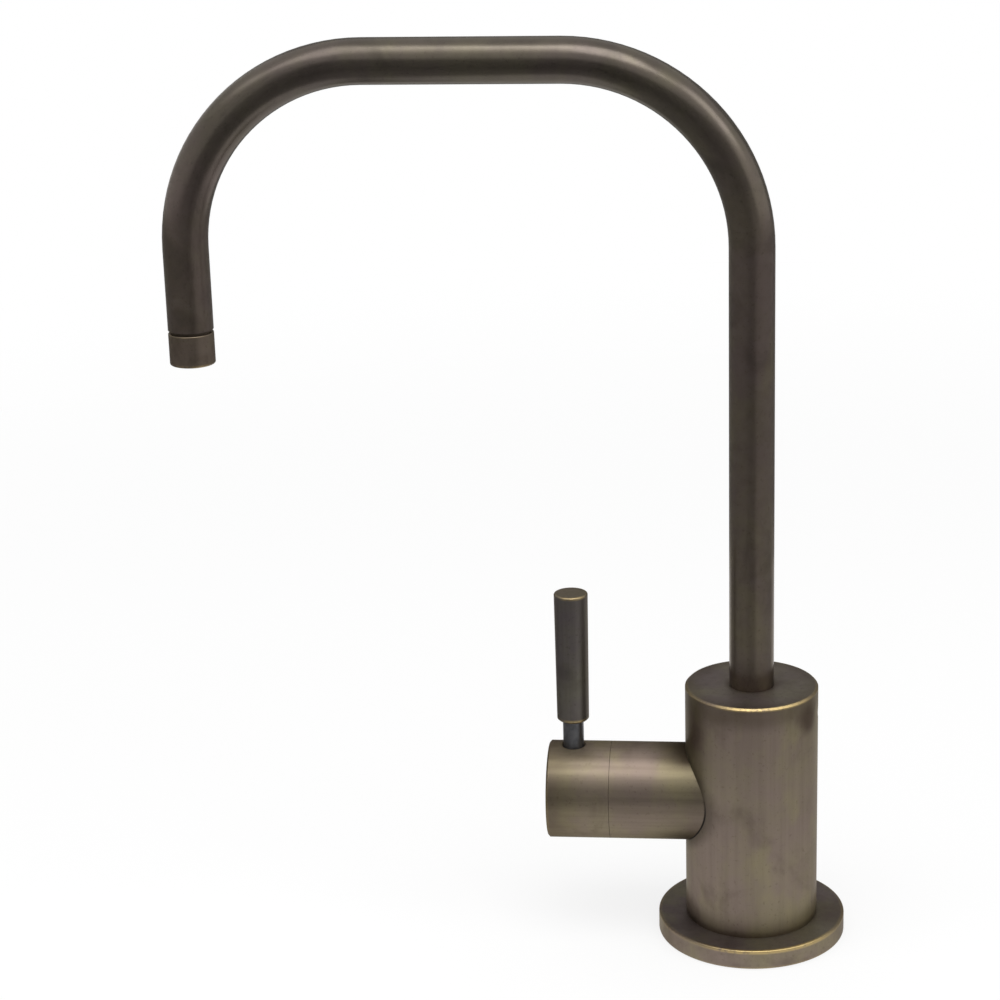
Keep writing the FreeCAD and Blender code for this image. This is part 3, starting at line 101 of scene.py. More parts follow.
class TapShape(bpy.types.PropertyGroup):
    """Sizes of the fine forms that the looks add to the model."""

    rim_round: bpy.props.FloatProperty(
        name="Rim rounding", description="Radius of the softened rims", default=0.0005,
        min=0.0001, max=0.002, unit="LENGTH")
    thread_pitch: bpy.props.FloatProperty(
        name="Thread pitch", description="Pitch of the shank's thread", default=0.0015,
        min=0.0005, max=0.003, unit="LENGTH")
    thread_depth: bpy.props.FloatProperty(
        name="Thread depth", description="Depth of the shank's thread", default=0.0009,
        min=0.0001, max=0.002, unit="LENGTH")
    pilot_length: bpy.props.FloatProperty(
        name="Pilot length", description="Length of the shank's plain foot", default=0.008,
        min=0.001, max=0.02, unit="LENGTH")
    pilot_step: bpy.props.FloatProperty(
        name="Pilot step", default=0.001,
        description="How far the plain foot is turned down, and over what length the thread fades",
        min=0.0002, max=0.002, unit="LENGTH")
    shank_bore: bpy.props.FloatProperty(
        name="Shank bore", description="Radius of the shank's bore", default=0.009,
        min=0.004, max=0.0095, unit="LENGTH")
    spring_wire: bpy.props.FloatProperty(
        name="Spring wire", description="Radius of the return spring's wire", default=0.0006,
        min=0.0002, max=0.0008, unit="LENGTH")
    spring_leg: bpy.props.FloatProperty(
        name="Spring leg", description="Length of the straight leg at the spring's inner end",
        default=0.0015, min=0.0005, max=0.003, unit="LENGTH")
    spring_bend: bpy.props.FloatProperty(
        name="Spring bend", description="Radius of the bend between a leg and the coil", default=0.0009,
        min=0.0006, max=0.002, unit="LENGTH")
    spring_turns: bpy.props.IntProperty(
        name="Spring turns", description="Turns of the return spring", default=3, min=1, max=6)
    spring_pitch: bpy.props.FloatProperty(
        name="Spring pitch", description="Pitch of the return spring", default=0.0014,
        min=0.0012, max=0.003, unit="LENGTH")
    steps_round: bpy.props.IntProperty(
        name="Steps round", description="Steps round each turned form", default=144, min=24, max=512)


class TapFinish(bpy.types.PropertyGroup):
    """Colours of the tap's finishes."""

    bronze: bpy.props.FloatVectorProperty(
        name="Bronze", description="Antique bronze, its middle tone", subtype="COLOR",
        default=linear(135, 125, 104), min=0, max=1)
    # umber is also the colour of the painted shade in corners and beside the joints
    umber: bpy.props.FloatVectorProperty(
        name="Umber", description="The dark of the patina in corners and cloudy patches", subtype="COLOR",
        default=linear(82, 71, 59), min=0, max=1)
    olive: bpy.props.FloatVectorProperty(
        name="Olive", description="The greenish tan of the thin patina", subtype="COLOR",
        default=linear(142, 133, 104), min=0, max=1)
    mauve: bpy.props.FloatVectorProperty(
        name="Mauve", description="The cool clouds in the patina", subtype="COLOR",
        default=linear(131, 117, 107), min=0, max=1)
    # rust also paints shade: the patches beside the arm and on the flange are painted shade, not stains
    rust_and_shade: bpy.props.FloatVectorProperty(
        name="Rust", description="The dark reddish patches in the patina", subtype="COLOR",
        default=linear(66, 50, 44), min=0, max=1)
    # worn brass is also the colour of the painted highlight on the rims that face the front
    worn_brass_and_sheen: bpy.props.FloatVectorProperty(
        name="Worn brass", description="Bare brass along the rims", subtype="COLOR",
        default=linear(188, 165, 114), min=0, max=1)
    black_steel: bpy.props.FloatVectorProperty(
        name="Black steel", description="Blackened steel of the stud and screws", subtype="COLOR",
        default=linear(95, 95, 97), min=0, max=1)
    brass: bpy.props.FloatVectorProperty(
        name="Brass", description="Plain turned brass", subtype="COLOR",
        default=linear(214, 184, 116), min=0, max=1)
    steel: bpy.props.FloatVectorProperty(
        name="Steel", description="Stainless steel of the spring, clip and stop washer", subtype="COLOR",
        default=linear(190, 190, 190), min=0, max=1)
    copper: bpy.props.FloatVectorProperty(
        name="Copper", description="Copper of the water tails", subtype="COLOR",
        default=linear(206, 128, 92), min=0, max=1)


class TapStudio(bpy.types.PropertyGroup):
    """The floor, the lights and the camera."""

    floor_colour: bpy.props.FloatVectorProperty(
        name="Floor", description="Colour of the floor", subtype="COLOR",
        default=(0.9, 0.9, 0.9), min=0, max=1)
    floor_whitening: bpy.props.FloatProperty(
        name="Floor whitening", default=0.78,
        description="How far the floor goes to plain white where it is seen or mirrored",
        min=0, max=1)
    floor_radius: bpy.props.FloatProperty(
        name="Floor radius", description="Radius of the floor, which fades out towards its edge",
        default=0.9, min=0.2, unit="LENGTH")
    floor_gap: bpy.props.FloatProperty(
        name="Floor gap", description="Gap between the shank and the floor's hole", default=0.0015,
        min=0.0, unit="LENGTH")
    floor_drop: bpy.props.FloatProperty(
        name="Floor drop", default=0.0002,
        description="How far the floor lies below the gasket, so that the two don't flicker",
        min=0.0, unit="LENGTH")
    room_light: bpy.props.FloatProperty(
        name="Room light", description="Strength of the even light from all round", default=0.68, min=0)
    softbox_power: bpy.props.FloatProperty(
        name="Softbox power", description="Power of the main lamp overhead", default=3.0, min=0)
    fill_power: bpy.props.FloatProperty(
        name="Fill power", description="Power of the weaker lamp over the spout's end", default=1.36, min=0)
    side_power: bpy.props.FloatVectorProperty(
        name="Side power", description="Power of the left and the right lamp", size=2, default=(0.7, 1.3),
        min=0)
    softbox_size: bpy.props.FloatVectorProperty(
        name="Softbox size", description="Width and depth of each lamp overhead", size=2, default=(0.44, 0.5),
        min=0.05, unit="LENGTH")
    card_radius: bpy.props.FloatProperty(
        name="Dark card radius", description="Distance of the curved dark cards from the tap",
        default=0.32, min=0.1, unit="LENGTH")
    card_height: bpy.props.FloatProperty(
        name="Dark card height", description="Height of the lower cards, which sets that of the others",
        default=0.2, min=0.02, unit="LENGTH")
    card_foot: bpy.props.FloatProperty(
        name="Dark card foot", description="How far the front and side cards reach inwards along the floor",
        default=0.18, min=0.0, unit="LENGTH")
    camera_back: bpy.props.FloatProperty(
        name="Camera distance", description="Camera's level distance in front of the tap's axis",
        default=0.66017, min=0.1, unit="LENGTH")
    camera_side: bpy.props.FloatProperty(
        name="Camera side", description="How far the camera stands to the right of the tap's axis",
        default=0.01189, unit="LENGTH")
    camera_height: bpy.props.FloatProperty(
        name="Camera height", description="Camera's height above the deck", default=0.34546, unit="LENGTH")
    camera_tilt: bpy.props.FloatProperty(
        name="Camera tilt", description="How far the camera looks down", default=0.29107, subtype="ANGLE")
    camera_pan: bpy.props.FloatProperty(
        name="Camera pan", description="How far the camera looks to the right",
        default=-0.08698, subtype="ANGLE")
    camera_roll: bpy.props.FloatProperty(
        name="Camera roll", description="How far the camera leans", default=-0.01851, subtype="ANGLE")
    lens: bpy.props.FloatProperty(
        name="Lens", description="Focal length on a 36 mm sensor", default=89.366, subtype="DISTANCE_CAMERA")
    shift: bpy.props.FloatVectorProperty(
        name="Lens shift", description="Sideways and upward shift of the frame", size=2,
        default=(-0.0876, -0.0553))


def overload(operation):
    """A Math operation on a signal and another operand, and its reflected form."""
    return (lambda self, other: self.nodes.maths(operation, self, other),
            lambda self, other: self.nodes.maths(operation, other, self))


class Signal:
    """A number, colour or vector that a shader node gives for each point of a surface."""

    __add__, __radd__ = overload("ADD")
    __sub__, __rsub__ = overload("SUBTRACT")
    __mul__, __rmul__ = overload("MULTIPLY")
    __pow__, __rpow__ = overload("POWER")
    __or__, __ror__ = overload("MAXIMUM")

    def __init__(self, nodes, socket):
        self.nodes = nodes
        self.socket = socket

    def __abs__(self):
        return self.nodes.maths("ABSOLUTE", self)


class Nodes:
    """A node tree under construction."""

    def __init__(self, tree):
        self.tree = tree

    def node(self, kind, settings=None, inputs=None, output=0):
        """Adds one node: its settings are set first, then the value or link of each input.

        It gives the signal of one output, if the node has any.
        """
        node = self.tree.nodes.new(kind)
        for name, value in (settings or {}).items():
            setattr(node, name, value)
        for name, value in (inputs or {}).items():
            self.feed(node.inputs[name], value)
        return Signal(self, node.outputs[output]) if len(node.outputs) else None

    def feed(self, socket, value):
        """Links a signal to a socket, or sets a plain value on it."""
        if isinstance(value, Signal):
            self.tree.links.new(value.socket, socket)
        elif socket.type == "RGBA" and len(value) == 3:
            socket.default_value = (*value, 1)
        else:
            socket.default_value = value

    def maths(self, operation, *values):
        """A sum, a product or another operation on numbers."""
        return self.node("ShaderNodeMath", {"operation": operation}, dict(enumerate(values)))

    def mirrored(self):
        """1 for what the camera sees, straight or in a mirror or a glass, and 0 for light on the object."""
        rays = self.node("ShaderNodeLightPath").socket.node.outputs
        camera, glossy, through = [Signal(self, rays[f"Is {kind} Ray"])
                                   for kind in ("Camera", "Glossy", "Transmission")]
        return camera | glossy | through


class Finish(Nodes):
    """A material under construction."""

    def __init__(self, name):
        self.material = bpy.data.materials.new(name)
        self.material.use_nodes = True
        super().__init__(self.material.node_tree)
        self.shader = self.tree.nodes["Principled BSDF"]
        self.point = self.node("ShaderNodeTexCoord", output="Object")

    def set(self, **values):
        """Feeds the shader's own sockets, named with underscores for spaces."""
        for name, value in values.items():
            self.feed(self.shader.inputs[name.replace("_", " ")], value)

    def blend(self, factor, first, second, kind="MIX"):
        """Goes from the first colour to the second as the factor goes from 0 to 1."""
        return self.node("ShaderNodeMix", {"data_type": "RGBA", "blend_type": kind},
                         {0: factor, 6: first, 7: second}, output=2)

    def ease(self, value, start, end, low=0.0, high=1.0):
        """Goes smoothly from low at start to high at end."""
        return self.node("ShaderNodeMapRange", {"interpolation_type": "SMOOTHSTEP"},
                         {"Value": value, "From Min": start, "From Max": end,
                          "To Min": low, "To Max": high})

    def stretched(self, scale):
        """The point on the surface with each axis scaled on its own."""
        return self.node("ShaderNodeVectorMath", {"operation": "MULTIPLY"}, {0: self.point, 1: scale})

    def noise(self, scale, detail=3.0, roughness=0.55, vector=None, distortion=0.0):
        """Cloudy noise, 0 to 1, with about so many features a metre."""
        return self.node("ShaderNodeTexNoise", None,
                         {"Vector": vector or self.point, "Scale": scale, "Detail": detail,
                          "Roughness": roughness, "Distortion": distortion})

    def axes(self):
        """The point's x, y and z."""
        split = self.node("ShaderNodeSeparateXYZ", inputs={0: self.point}).socket.node
        return [Signal(self, socket) for socket in split.outputs]

    def whiten(self, share):
        """Mixes that share of plain white light into the surface where it is seen or mirrored."""
        white = self.node("ShaderNodeEmission", inputs={"Color": (1, 1, 1), "Strength": 1.0})
        mixed = self.node("ShaderNodeMixShader", inputs={
            0: self.mirrored() * share, 1: Signal(self, self.shader.outputs[0]), 2: white})
        self.feed(self.tree.nodes["Material Output"].inputs["Surface"], mixed)

    def tint(self, colour, by):
        """The colour multiplied by another one."""
        return self.blend(1.0, colour, by, kind="MULTIPLY")

    def away(self, first, second):
        """How far a point is from an axis, from its two distances across it."""
        return (first * first + second * second) ** 0.5

    def bump(self, height, depth, strength=1.0):
        """A surface normal from a height signal that spans so many metres."""
        self.set(Normal=self.node("ShaderNodeBump", None, {
            "Strength": strength, "Distance": depth, "Height": height}))


def upright(finish, x=0.0):
    """Distance from the upright axis at x, and height."""
    east, north, up = finish.axes()
    return finish.away(east - x, north), up


def along_arm(finish):
    """Distance from the side arm's axis, and how far out along it."""
    east, north, up = finish.axes()
    return finish.away(north, up - ARM_AXIS), east * -1.0


def body_seam(finish):
    """Distance from the upright body's surface, where the arm meets it."""
    return upright(finish)[0] - BODY_RADIUS


def arm_seam(finish):
    """Distance from the arm's surface where it meets the body, and far from it on the other side."""
    across, outwards = along_arm(finish)
    return across - ARM_RADIUS + finish.ease(outwards, 0.004, 0.0)


def shade_beside_cope(finish):
    """How much painted shade the body gets beside the arm's cope, more towards the bottom."""
    return finish.ease(finish.axes()[2], ARM_AXIS + ARM_RADIUS, ARM_AXIS - ARM_RADIUS, 0.35, 0.65)


def reflection_on_arm(finish):
    """How dark the arm is painted beside the body: most on top, a painted reflection of the body."""
    _, north, up = finish.axes()
    return finish.ease(north, -0.0105, -0.0068) * finish.ease(up, ARM_AXIS, ARM_AXIS + 0.006) * 0.78 + 0.2


def rim(finish, across, along, radius, place, width):
    """A mask for the rim at that radius and place, which fades out over the width."""
    distance = finish.away(across - radius, along - place)
    return finish.ease(distance, width, width * 0.25)


def antique_bronze(name, grain, across=None, rims=(), corners=(), seams_and_shade=(), shade=(1.0, 1.0, 1.0), coat=0.12,
                   roughness=0.4, brushed=0.16, darker_above=None, top_face_light=None, stains_and_shade=(), axis_x=0.0):
    """Brushed bronze under a cloudy patina, with painted shade in its corners and beside its joints, rubbed
    to brass along its rims, with a painted highlight on the rims that face the front.

    The grain gives the brushing's fineness along x, y and z. Each rim is a radius, a place, a width and a
    strength, each corner of painted shade a radius, a place, a width and a strength, both measured by the
    function across. The rims' bare brass is strongest where they face the front and the right, as a painted
    highlight.
    Each seam is a function that gives the distance from a joint, a width and a function for where painted
    shade falls beside it, and a thin dark line runs along the joint's lower part. The shade tints the whole,
    brushed is how much the brushing shows, above the height given for darkening the colour is darker, the top
    face's height and tint give the light and shade painted on that face, and each smear is the middle, the
    size and the strength of a dark reddish patch, which serves both for stains and for painted shade. The
    rims turn round an axis at axis_x.
    """
    colours = bpy.context.scene.tap_finish
    finish = Finish(name)
    clouds = finish.noise(38.0, detail=4.0, roughness=0.6)
    patches = finish.noise(85.0, detail=3.0, vector=finish.stretched((1.0, 1.0, 0.6)))
    stains = finish.noise(64.0, detail=5.0, distortion=0.6)
    flecks = finish.noise(900.0, detail=2.0, roughness=0.7)
    brushing = finish.noise(1.0, detail=4.0, roughness=0.65, vector=finish.stretched(grain))
    base = finish.blend(finish.ease(clouds, 0.38, 0.66), colours.mauve, colours.bronze)
    base = finish.blend(finish.ease(patches, 0.48, 0.72) * 0.7, base, colours.olive)
    base = finish.blend(finish.ease(stains, 0.5, 0.28) * 0.4, base, colours.umber)
    base = finish.blend(finish.ease(brushing, 0.35, 0.75) * brushed, base, colours.umber)
    base = finish.blend(finish.ease(flecks, 0.58, 0.75) * 0.3, base, colours.umber)
    base = finish.tint(base, shade)
    # the colour is darker above the given height
    if darker_above:
        height = finish.axes()[2] + (clouds - 0.5) * 0.03
        base = finish.blend(finish.ease(height, darker_above - 0.03, darker_above + 0.02), base,
                            finish.tint(base, (0.57, 0.59, 0.57)))
    gloss = roughness + clouds * 0.08 + brushing * 0.08
    # painted shade beside each joint, then a thin dark line along the joint's lower part
    for distance, width, where in seams_and_shade:
        away = abs(distance(finish))
        dark = finish.ease(away + (clouds - 0.5) * width * 0.5, width, 0.0) * where(finish)
        base = finish.blend(dark, base, finish.tint(colours.umber, (0.4, 0.38, 0.36)))
        below = finish.ease(finish.axes()[2], ARM_AXIS + 0.006, ARM_AXIS - 0.004)
        line = finish.ease(away, 0.0003, 0.0001) * below
        base = finish.blend(line * 0.9, base, (0.006, 0.006, 0.006))
    # a tint painted on a top face for the light and shade it gets
    if top_face_light:
        top, tint = top_face_light
        base = finish.blend(finish.ease(finish.axes()[2], top - 0.0003, top - 0.0001), base,
                            finish.tint(base, tint))
    # dark reddish patches: some are stains, others painted shade
    for place, size, strength in stains_and_shade:
        offset = [axis - centre for axis, centre in zip(finish.axes(), place)]
        distance = finish.away(finish.away(offset[0], offset[1]), offset[2])
        patch = finish.ease(distance + (clouds - 0.5) * size, size, size * 0.3)
        base = finish.blend(patch * strength, base, colours.rust_and_shade)
    if across:
        radial, along = across(finish)
        # painted shade in each corner
        for radius, place, width, strength in corners:
            distance = finish.away(radial - radius, along - place)
            shadow = finish.ease(distance + (clouds - 0.5) * width * 0.6, width, width * 0.1)
            base = finish.blend(shadow * strength, base, colours.umber)
        wear_and_highlight = 0.0
        for radius, place, width, strength in rims:
            wear_and_highlight = rim(finish, radial, along, radius, place, width) * strength | wear_and_highlight
        if rims:
            # the bare brass is strongest on rims facing the front and the right: a painted highlight
            east, north, _ = finish.axes()
            facing = (east - axis_x) * HIGHLIGHT_RIGHT - north * HIGHLIGHT_FORWARD
            forward = finish.ease(facing, rims[0][0] * 0.6, rims[0][0] * 0.97, 0.2, 1.0)
            wear_and_highlight = wear_and_highlight * finish.ease(flecks * 0.6 + clouds * 0.5, 0.3, 0.6) * forward
            base = finish.blend(wear_and_highlight, base, colours.worn_brass_and_sheen)
            gloss = gloss - wear_and_highlight * 0.06
    finish.set(Base_Color=base, Roughness=gloss, Metallic=0.94, Specular_Tint=(0.55, 0.52, 0.47, 1.0),
               Coat_Weight=coat, Coat_Roughness=0.24)
    finish.bump(brushing * 0.7 + flecks * 0.3, 0.00005, 0.5)
    return finish.material


def black_steel(name):
    """Blackened steel, a little bluish, with fine turned rings."""
    finish = Finish(name)
    colour = bpy.context.scene.tap_finish.black_steel
    blotches = finish.noise(300.0, detail=4.0)
    rings = finish.noise(1.0, detail=2.0, vector=finish.stretched((60.0, 60.0, 5200.0)))
    base = finish.blend(finish.ease(blotches, 0.4, 0.7) * 0.5, colour, linear(40, 38, 40))
    finish.set(Base_Color=base, Metallic=0.9, Roughness=0.3 + blotches * 0.14)
    finish.bump(rings, 0.00004, 0.5)
    return finish.material


def turned_metal(name, colour, dark, roughness, grain):
    """Bare machined metal with the marks of its turning."""
    finish = Finish(name)
    marks = finish.noise(1.0, detail=3.0, roughness=0.7, vector=finish.stretched(grain))
    clouds = finish.noise(90.0, detail=4.0)
    darkness = finish.ease(clouds, 0.35, 0.7) * 0.45 + finish.ease(marks, 0.5, 0.8) * 0.2
    base = finish.blend(darkness, colour, dark)
    finish.set(Base_Color=base, Metallic=1.0, Roughness=roughness + clouds * 0.1 + marks * 0.06)
    finish.bump(marks, 0.00005, 0.45)
    return finish.material


def plain_steel(name):
    """Stainless steel wire and sheet, with a fine even grain."""
    return turned_metal(name, bpy.context.scene.tap_finish.steel, linear(128, 126, 124), 0.26,
                        (300.0, 300.0, 300.0))


def soft_plastic(name, colour, dark, roughness, fineness, depth=0.00004):
    """Rubber, plastic or ceramic: an even colour with fine clouds and a fine moulded skin."""
    finish = Finish(name)
    skin = finish.noise(fineness, detail=3.0, roughness=0.7)
    clouds = finish.noise(60.0, detail=3.0)
    darkness = finish.ease(clouds, 0.35, 0.7) * 0.5 + finish.ease(skin, 0.5, 0.8) * 0.3
    base = finish.blend(darkness, colour, dark)
    finish.set(Base_Color=base, Roughness=roughness + clouds * 0.12)
    finish.bump(skin, depth, 0.5)
    return finish.material


def dress(node, material):
    """Gives a CAD node that material and nothing else."""
    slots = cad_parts[node].data.materials
    slots.clear()
    slots.append(material)


def new_piece(name, mesh_maker, material, body, replaced=(), sharp=32.0):
    """Makes a smooth-shaded piece from a bmesh and hangs it on its body, if it has one."""
    made = bmesh.new()
    mesh_maker(made)
    bmesh.ops.remove_doubles(made, verts=made.verts, dist=1e-7)
    bmesh.ops.recalc_face_normals(made, faces=made.faces)
    mesh = bpy.data.meshes.new(name)
    made.to_mesh(mesh)
    made.free()
    mesh.shade_smooth()
    mesh.set_sharp_from_angle(angle=math.radians(sharp))
    mesh.materials.append(material)
    piece = bpy.data.objects.new(name, mesh)
    bpy.context.scene.collection.objects.link(piece)
    if body:
        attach(piece, body)
    if replaced:
        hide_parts(*replaced)
    return piece


def rounded(corners, parts=6):
    """The points of a closed outline of (radius, height, rounding), with an arc at each rounding."""
    points = []
    count = len(corners)
    for i, (x, y, rounding) in enumerate(corners):
        here = Vector((x, y))
        if not rounding:
            points.append(here)
            continue
        before = Vector(corners[i - 1][:2]) - here
        after = Vector(corners[(i + 1) % count][:2]) - here
        half = before.angle(after) / 2
        reach = min(rounding / math.tan(half), before.length * MOST_OF_EDGE, after.length * MOST_OF_EDGE)
        radius = reach * math.tan(half)
        before.normalize()
        after.normalize()
        centre = here + (before + after).normalized() * (radius / math.sin(half))
        start, end = here + before * reach, here + after * reach
        points.append(start + before * reach * FLAT_SHARE)
        first, last = start - centre, end - centre
        turn = first.angle_signed(last)
        for step in range(parts + 1):
            points.append(centre + Matrix.Rotation(-turn * step / parts, 2) @ first)
        points.append(end + after * reach * FLAT_SHARE)
    return points


def ring(mesh, radii, z, x=0.0):
    """Adds a level ring of points round the upright axis at x, each at its own radius."""
    spots = []
    for step, radius in enumerate(radii):
        angle = 2 * math.pi * step / len(radii)
        spots.append(mesh.verts.new((x + radius * math.cos(angle), radius * math.sin(angle), z)))
    return spots


def bridge(mesh, here, ahead):
    """Adds the faces between two rings."""
    for step, _ in enumerate(here):
        follow = (step + 1) % len(here)
        mesh.faces.new((here[step], here[follow], ahead[follow], ahead[step]))


def lathe(outline, steps, x=0.0):
    """A mesh maker that turns a closed outline of (radius, height) round the upright axis at x."""
    def make(mesh):
        rings = [ring(mesh, [point.x] * steps, point.y, x) for point in outline]
        for i, here in enumerate(rings):
            following = (i + 1) % len(rings)
            if outline[i].x < ON_AXIS and outline[following].x < ON_AXIS:
                continue
            bridge(mesh, here, rings[following])
    return make


def sweep(mesh, profile, start, end, steps):
    """Adds the band that a line between two (radius, height) sweeps round the tap, with angles in degrees."""
    columns = []
    for step in range(steps + 1):
        angle = math.radians(start + (end - start) * step / steps)
        columns.append([mesh.verts.new((r * math.cos(angle), r * math.sin(angle), z)) for r, z in profile])
    for (low, high), (next_low, next_high) in zip(columns, columns[1:]):
        mesh.faces.new((low, next_low, next_high, high))


def stage_piece(name, made, material):
    """Makes a piece of the studio from a bmesh."""
    bmesh.ops.remove_doubles(made, verts=made.verts, dist=1e-6)
    mesh = bpy.data.meshes.new(name)
    made.to_mesh(mesh)
    made.free()
    mesh.materials.append(material)
    piece = bpy.data.objects.new(name, mesh)
    bpy.context.scene.collection.objects.link(piece)
    return piece


class TAP_OT_upright_body(bpy.types.Operator):
    """Finishes the upright body and makes the softened base flange"""

    bl_idname = "tap.upright_body"
    bl_label = "Upright body"

    def execute(self, context):
        shape = context.scene.tap_shape
        edge = shape.rim_round
        top, foot = BODY_HIGH.z, FLANGE_HIGH.z
        # painted shade at the body's foot, round the spout's foot, under the top rim and beside the arm's
        # cope; painted light on the top face; a stain on the right and painted shade on the left above the
        # arm
        body = antique_bronze(
            "body_bronze", (420.0, 420.0, 16.0), across=upright,
            rims=((BODY_RADIUS - edge / 2, top - edge / 2, edge * 1.8, 0.95),),
            corners=((BODY_RADIUS, foot, 0.0025, 0.7), (TUBE_RADIUS, top, 0.002, 0.5),
                     (BODY_RADIUS, top - 0.002, 0.006, 0.5)),
            seams_and_shade=((arm_seam, 0.0038, shade_beside_cope),), top_face_light=(top, (0.82, 0.87, 1.0)),
            stains_and_shade=(((BODY_RADIUS * 0.86, BODY_RADIUS * -0.5, top - 0.006), 0.007, 0.75),
                    ((BODY_RADIUS * -0.95, BODY_RADIUS * -0.3, top - 0.01), 0.013, 0.6)))
        dress("tap_body", body)
        # painted shade round the body's foot and on the right of the top face; painted light on the top face
        flange = antique_bronze(
            "flange_bronze", (420.0, 420.0, 160.0), across=upright,
            rims=((FLANGE_RADIUS - edge / 2, foot - edge / 2, edge * 2.0, 1.0),
                  (FLANGE_RADIUS, 0.0, edge * 1.5, 0.3)),
            corners=((BODY_RADIUS, foot, 0.001, 0.2),), top_face_light=(foot, (0.8, 0.83, 0.96)),
            stains_and_shade=(((FLANGE_RADIUS * 0.88, FLANGE_RADIUS * -0.1, foot), 0.013, 0.4),))
        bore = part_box("flange_gasket")[1].x
        flange_lap = 0.0035
        inner = BODY_RADIUS - flange_lap
        step_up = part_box("flange_gasket")[1].z
        outline = rounded((
            (inner, step_up, 0), (bore, step_up, 0), (bore, 0.0, 0), (FLANGE_RADIUS, 0.0, edge * 0.5),
            (FLANGE_RADIUS, foot, edge), (inner, foot, 0)))
        new_piece("base_flange_turned", lathe(outline, shape.steps_round), flange, "tap",
                  ("base_flange",))
        return {"FINISHED"}


class TAP_OT_side_arm(bpy.types.Operator):
    """Finishes the fixed part of the side arm and its turning hub"""

    bl_idname = "tap.side_arm"
    bl_label = "Side arm and hub"

    def execute(self, context):
        edge = context.scene.tap_shape.rim_round
        # painted reflection of the body on the arm's top beside it
        housing = antique_bronze("arm_bronze", (16.0, 420.0, 420.0), brushed=0.25, coat=0.0,
                                 seams_and_shade=((body_seam, 0.0125, reflection_on_arm),))
        # painted shade at the hub's end, where the lever's shadow falls
        hub = antique_bronze(
            "hub_bronze", (16.0, 420.0, 420.0), across=along_arm, brushed=0.25, coat=0.0, axis_x=ARM_LOW.x,
            rims=((ARM_RADIUS - edge / 2, -ARM_LOW.x - edge / 2, edge * 1.6, 0.15),),
            corners=((ARM_RADIUS, -ARM_LOW.x, 0.014, 0.5),))
        dress("valve_housing", housing)
        dress("handle_hub", hub)
        return {"FINISHED"}


class TAP_OT_lever(bpy.types.Operator):
    """Makes the lever's softened barrel and finishes its dark stud"""

    bl_idname = "tap.lever"
    bl_label = "Lever"

    def execute(self, context):
        shape = context.scene.tap_shape
        edge = shape.rim_round
        low, high = BARREL_LOW.z, BARREL_HIGH.z
        wide = BARREL_HIGH.y
        taper, stem_gap, foot_round = 0.00025, 0.00005, 0.0002
        narrow = wide - taper
        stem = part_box("lever_stud")[1].y + stem_gap
        stem_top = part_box("lever_stud")[1].z + stem_gap
        # painted light on the barrel's top face, and a painted highlight with the wear on its rims
        bronze = antique_bronze(
            "lever_bronze", (700.0, 700.0, 20.0), across=lambda finish: upright(finish, LEVER_AXIS),
            shade=(0.56, 0.6, 0.76), roughness=0.34,
            rims=((wide - edge / 2, high - edge / 2, edge * 1.6, 0.55), (narrow, low + edge, edge * 1.8, 0.6),
                  (narrow - edge, low, edge * 1.8, 0.5)), top_face_light=(high, (1.5, 1.45, 1.15)), axis_x=LEVER_AXIS)
        outline = rounded((
            (stem, low, 0), (narrow - edge, low, foot_round), (narrow, low + edge, foot_round),
            (wide, high, edge), (0.0, high, 0), (0.0, stem_top, 0), (stem, stem_top, 0)))
        new_piece("lever_barrel_turned", lathe(outline, shape.steps_round, x=LEVER_AXIS), bronze, "lever",
                  ("lever_barrel",))
        dress("lever_stud", black_steel("stud_steel"))
        return {"FINISHED"}


class TAP_OT_spout(bpy.types.Operator):
    """Finishes the bent tube, the adapter and the straightener, and makes the softened outlet shell"""

    bl_idname = "tap.spout"
    bl_label = "Spout and outlet"

    def execute(self, context):
        shape = context.scene.tap_shape
        edge = shape.rim_round
        # the tube's colour is darker above the given height
        tube = antique_bronze("spout_bronze", (240.0, 240.0, 240.0), shade=(0.62, 0.595, 0.62), coat=0.55,
                              roughness=0.22, darker_above=0.225)
        dress("spout_tube", tube)
        low, high = SHELL_LOW.z, SHELL_HIGH.z
        radius = SHELL_HIGH.y
        shell_wall, lip, lip_height = 0.00095, 0.0007, 0.001
        shell = antique_bronze(
            "outlet_bronze", (500.0, 500.0, 90.0), across=lambda finish: upright(finish, OUTLET_AXIS),
            shade=(0.8, 0.8, 0.77), coat=0.2, roughness=0.3,
            rims=((radius - edge / 2, low + edge / 2, edge * 1.6, 0.5), (radius, high, edge, 0.12)),
            axis_x=OUTLET_AXIS)
        inner = radius - shell_wall
        outline = rounded((
            (inner - lip, low, edge * 0.5), (radius, low, edge), (radius, high, edge * 0.5),
            (inner, high, 0), (inner, low + lip_height, 0), (inner - lip, low + lip_height, 0)))
        new_piece("outlet_shell_turned", lathe(outline, shape.steps_round, x=OUTLET_AXIS), shell, "spout",
                  ("outlet_shell",))
        # the adapter is darkened: painted shade in the groove above the outlet
        dress("outlet_adapter", antique_bronze("adapter_bronze", (300.0, 300.0, 300.0),
                                               shade=(0.34, 0.33, 0.31)))
        dress("stream_straightener", soft_plastic(
            "straightener_plastic", linear(196, 196, 190), linear(160, 158, 150), 0.4, 1400.0))
        return {"FINISHED"}


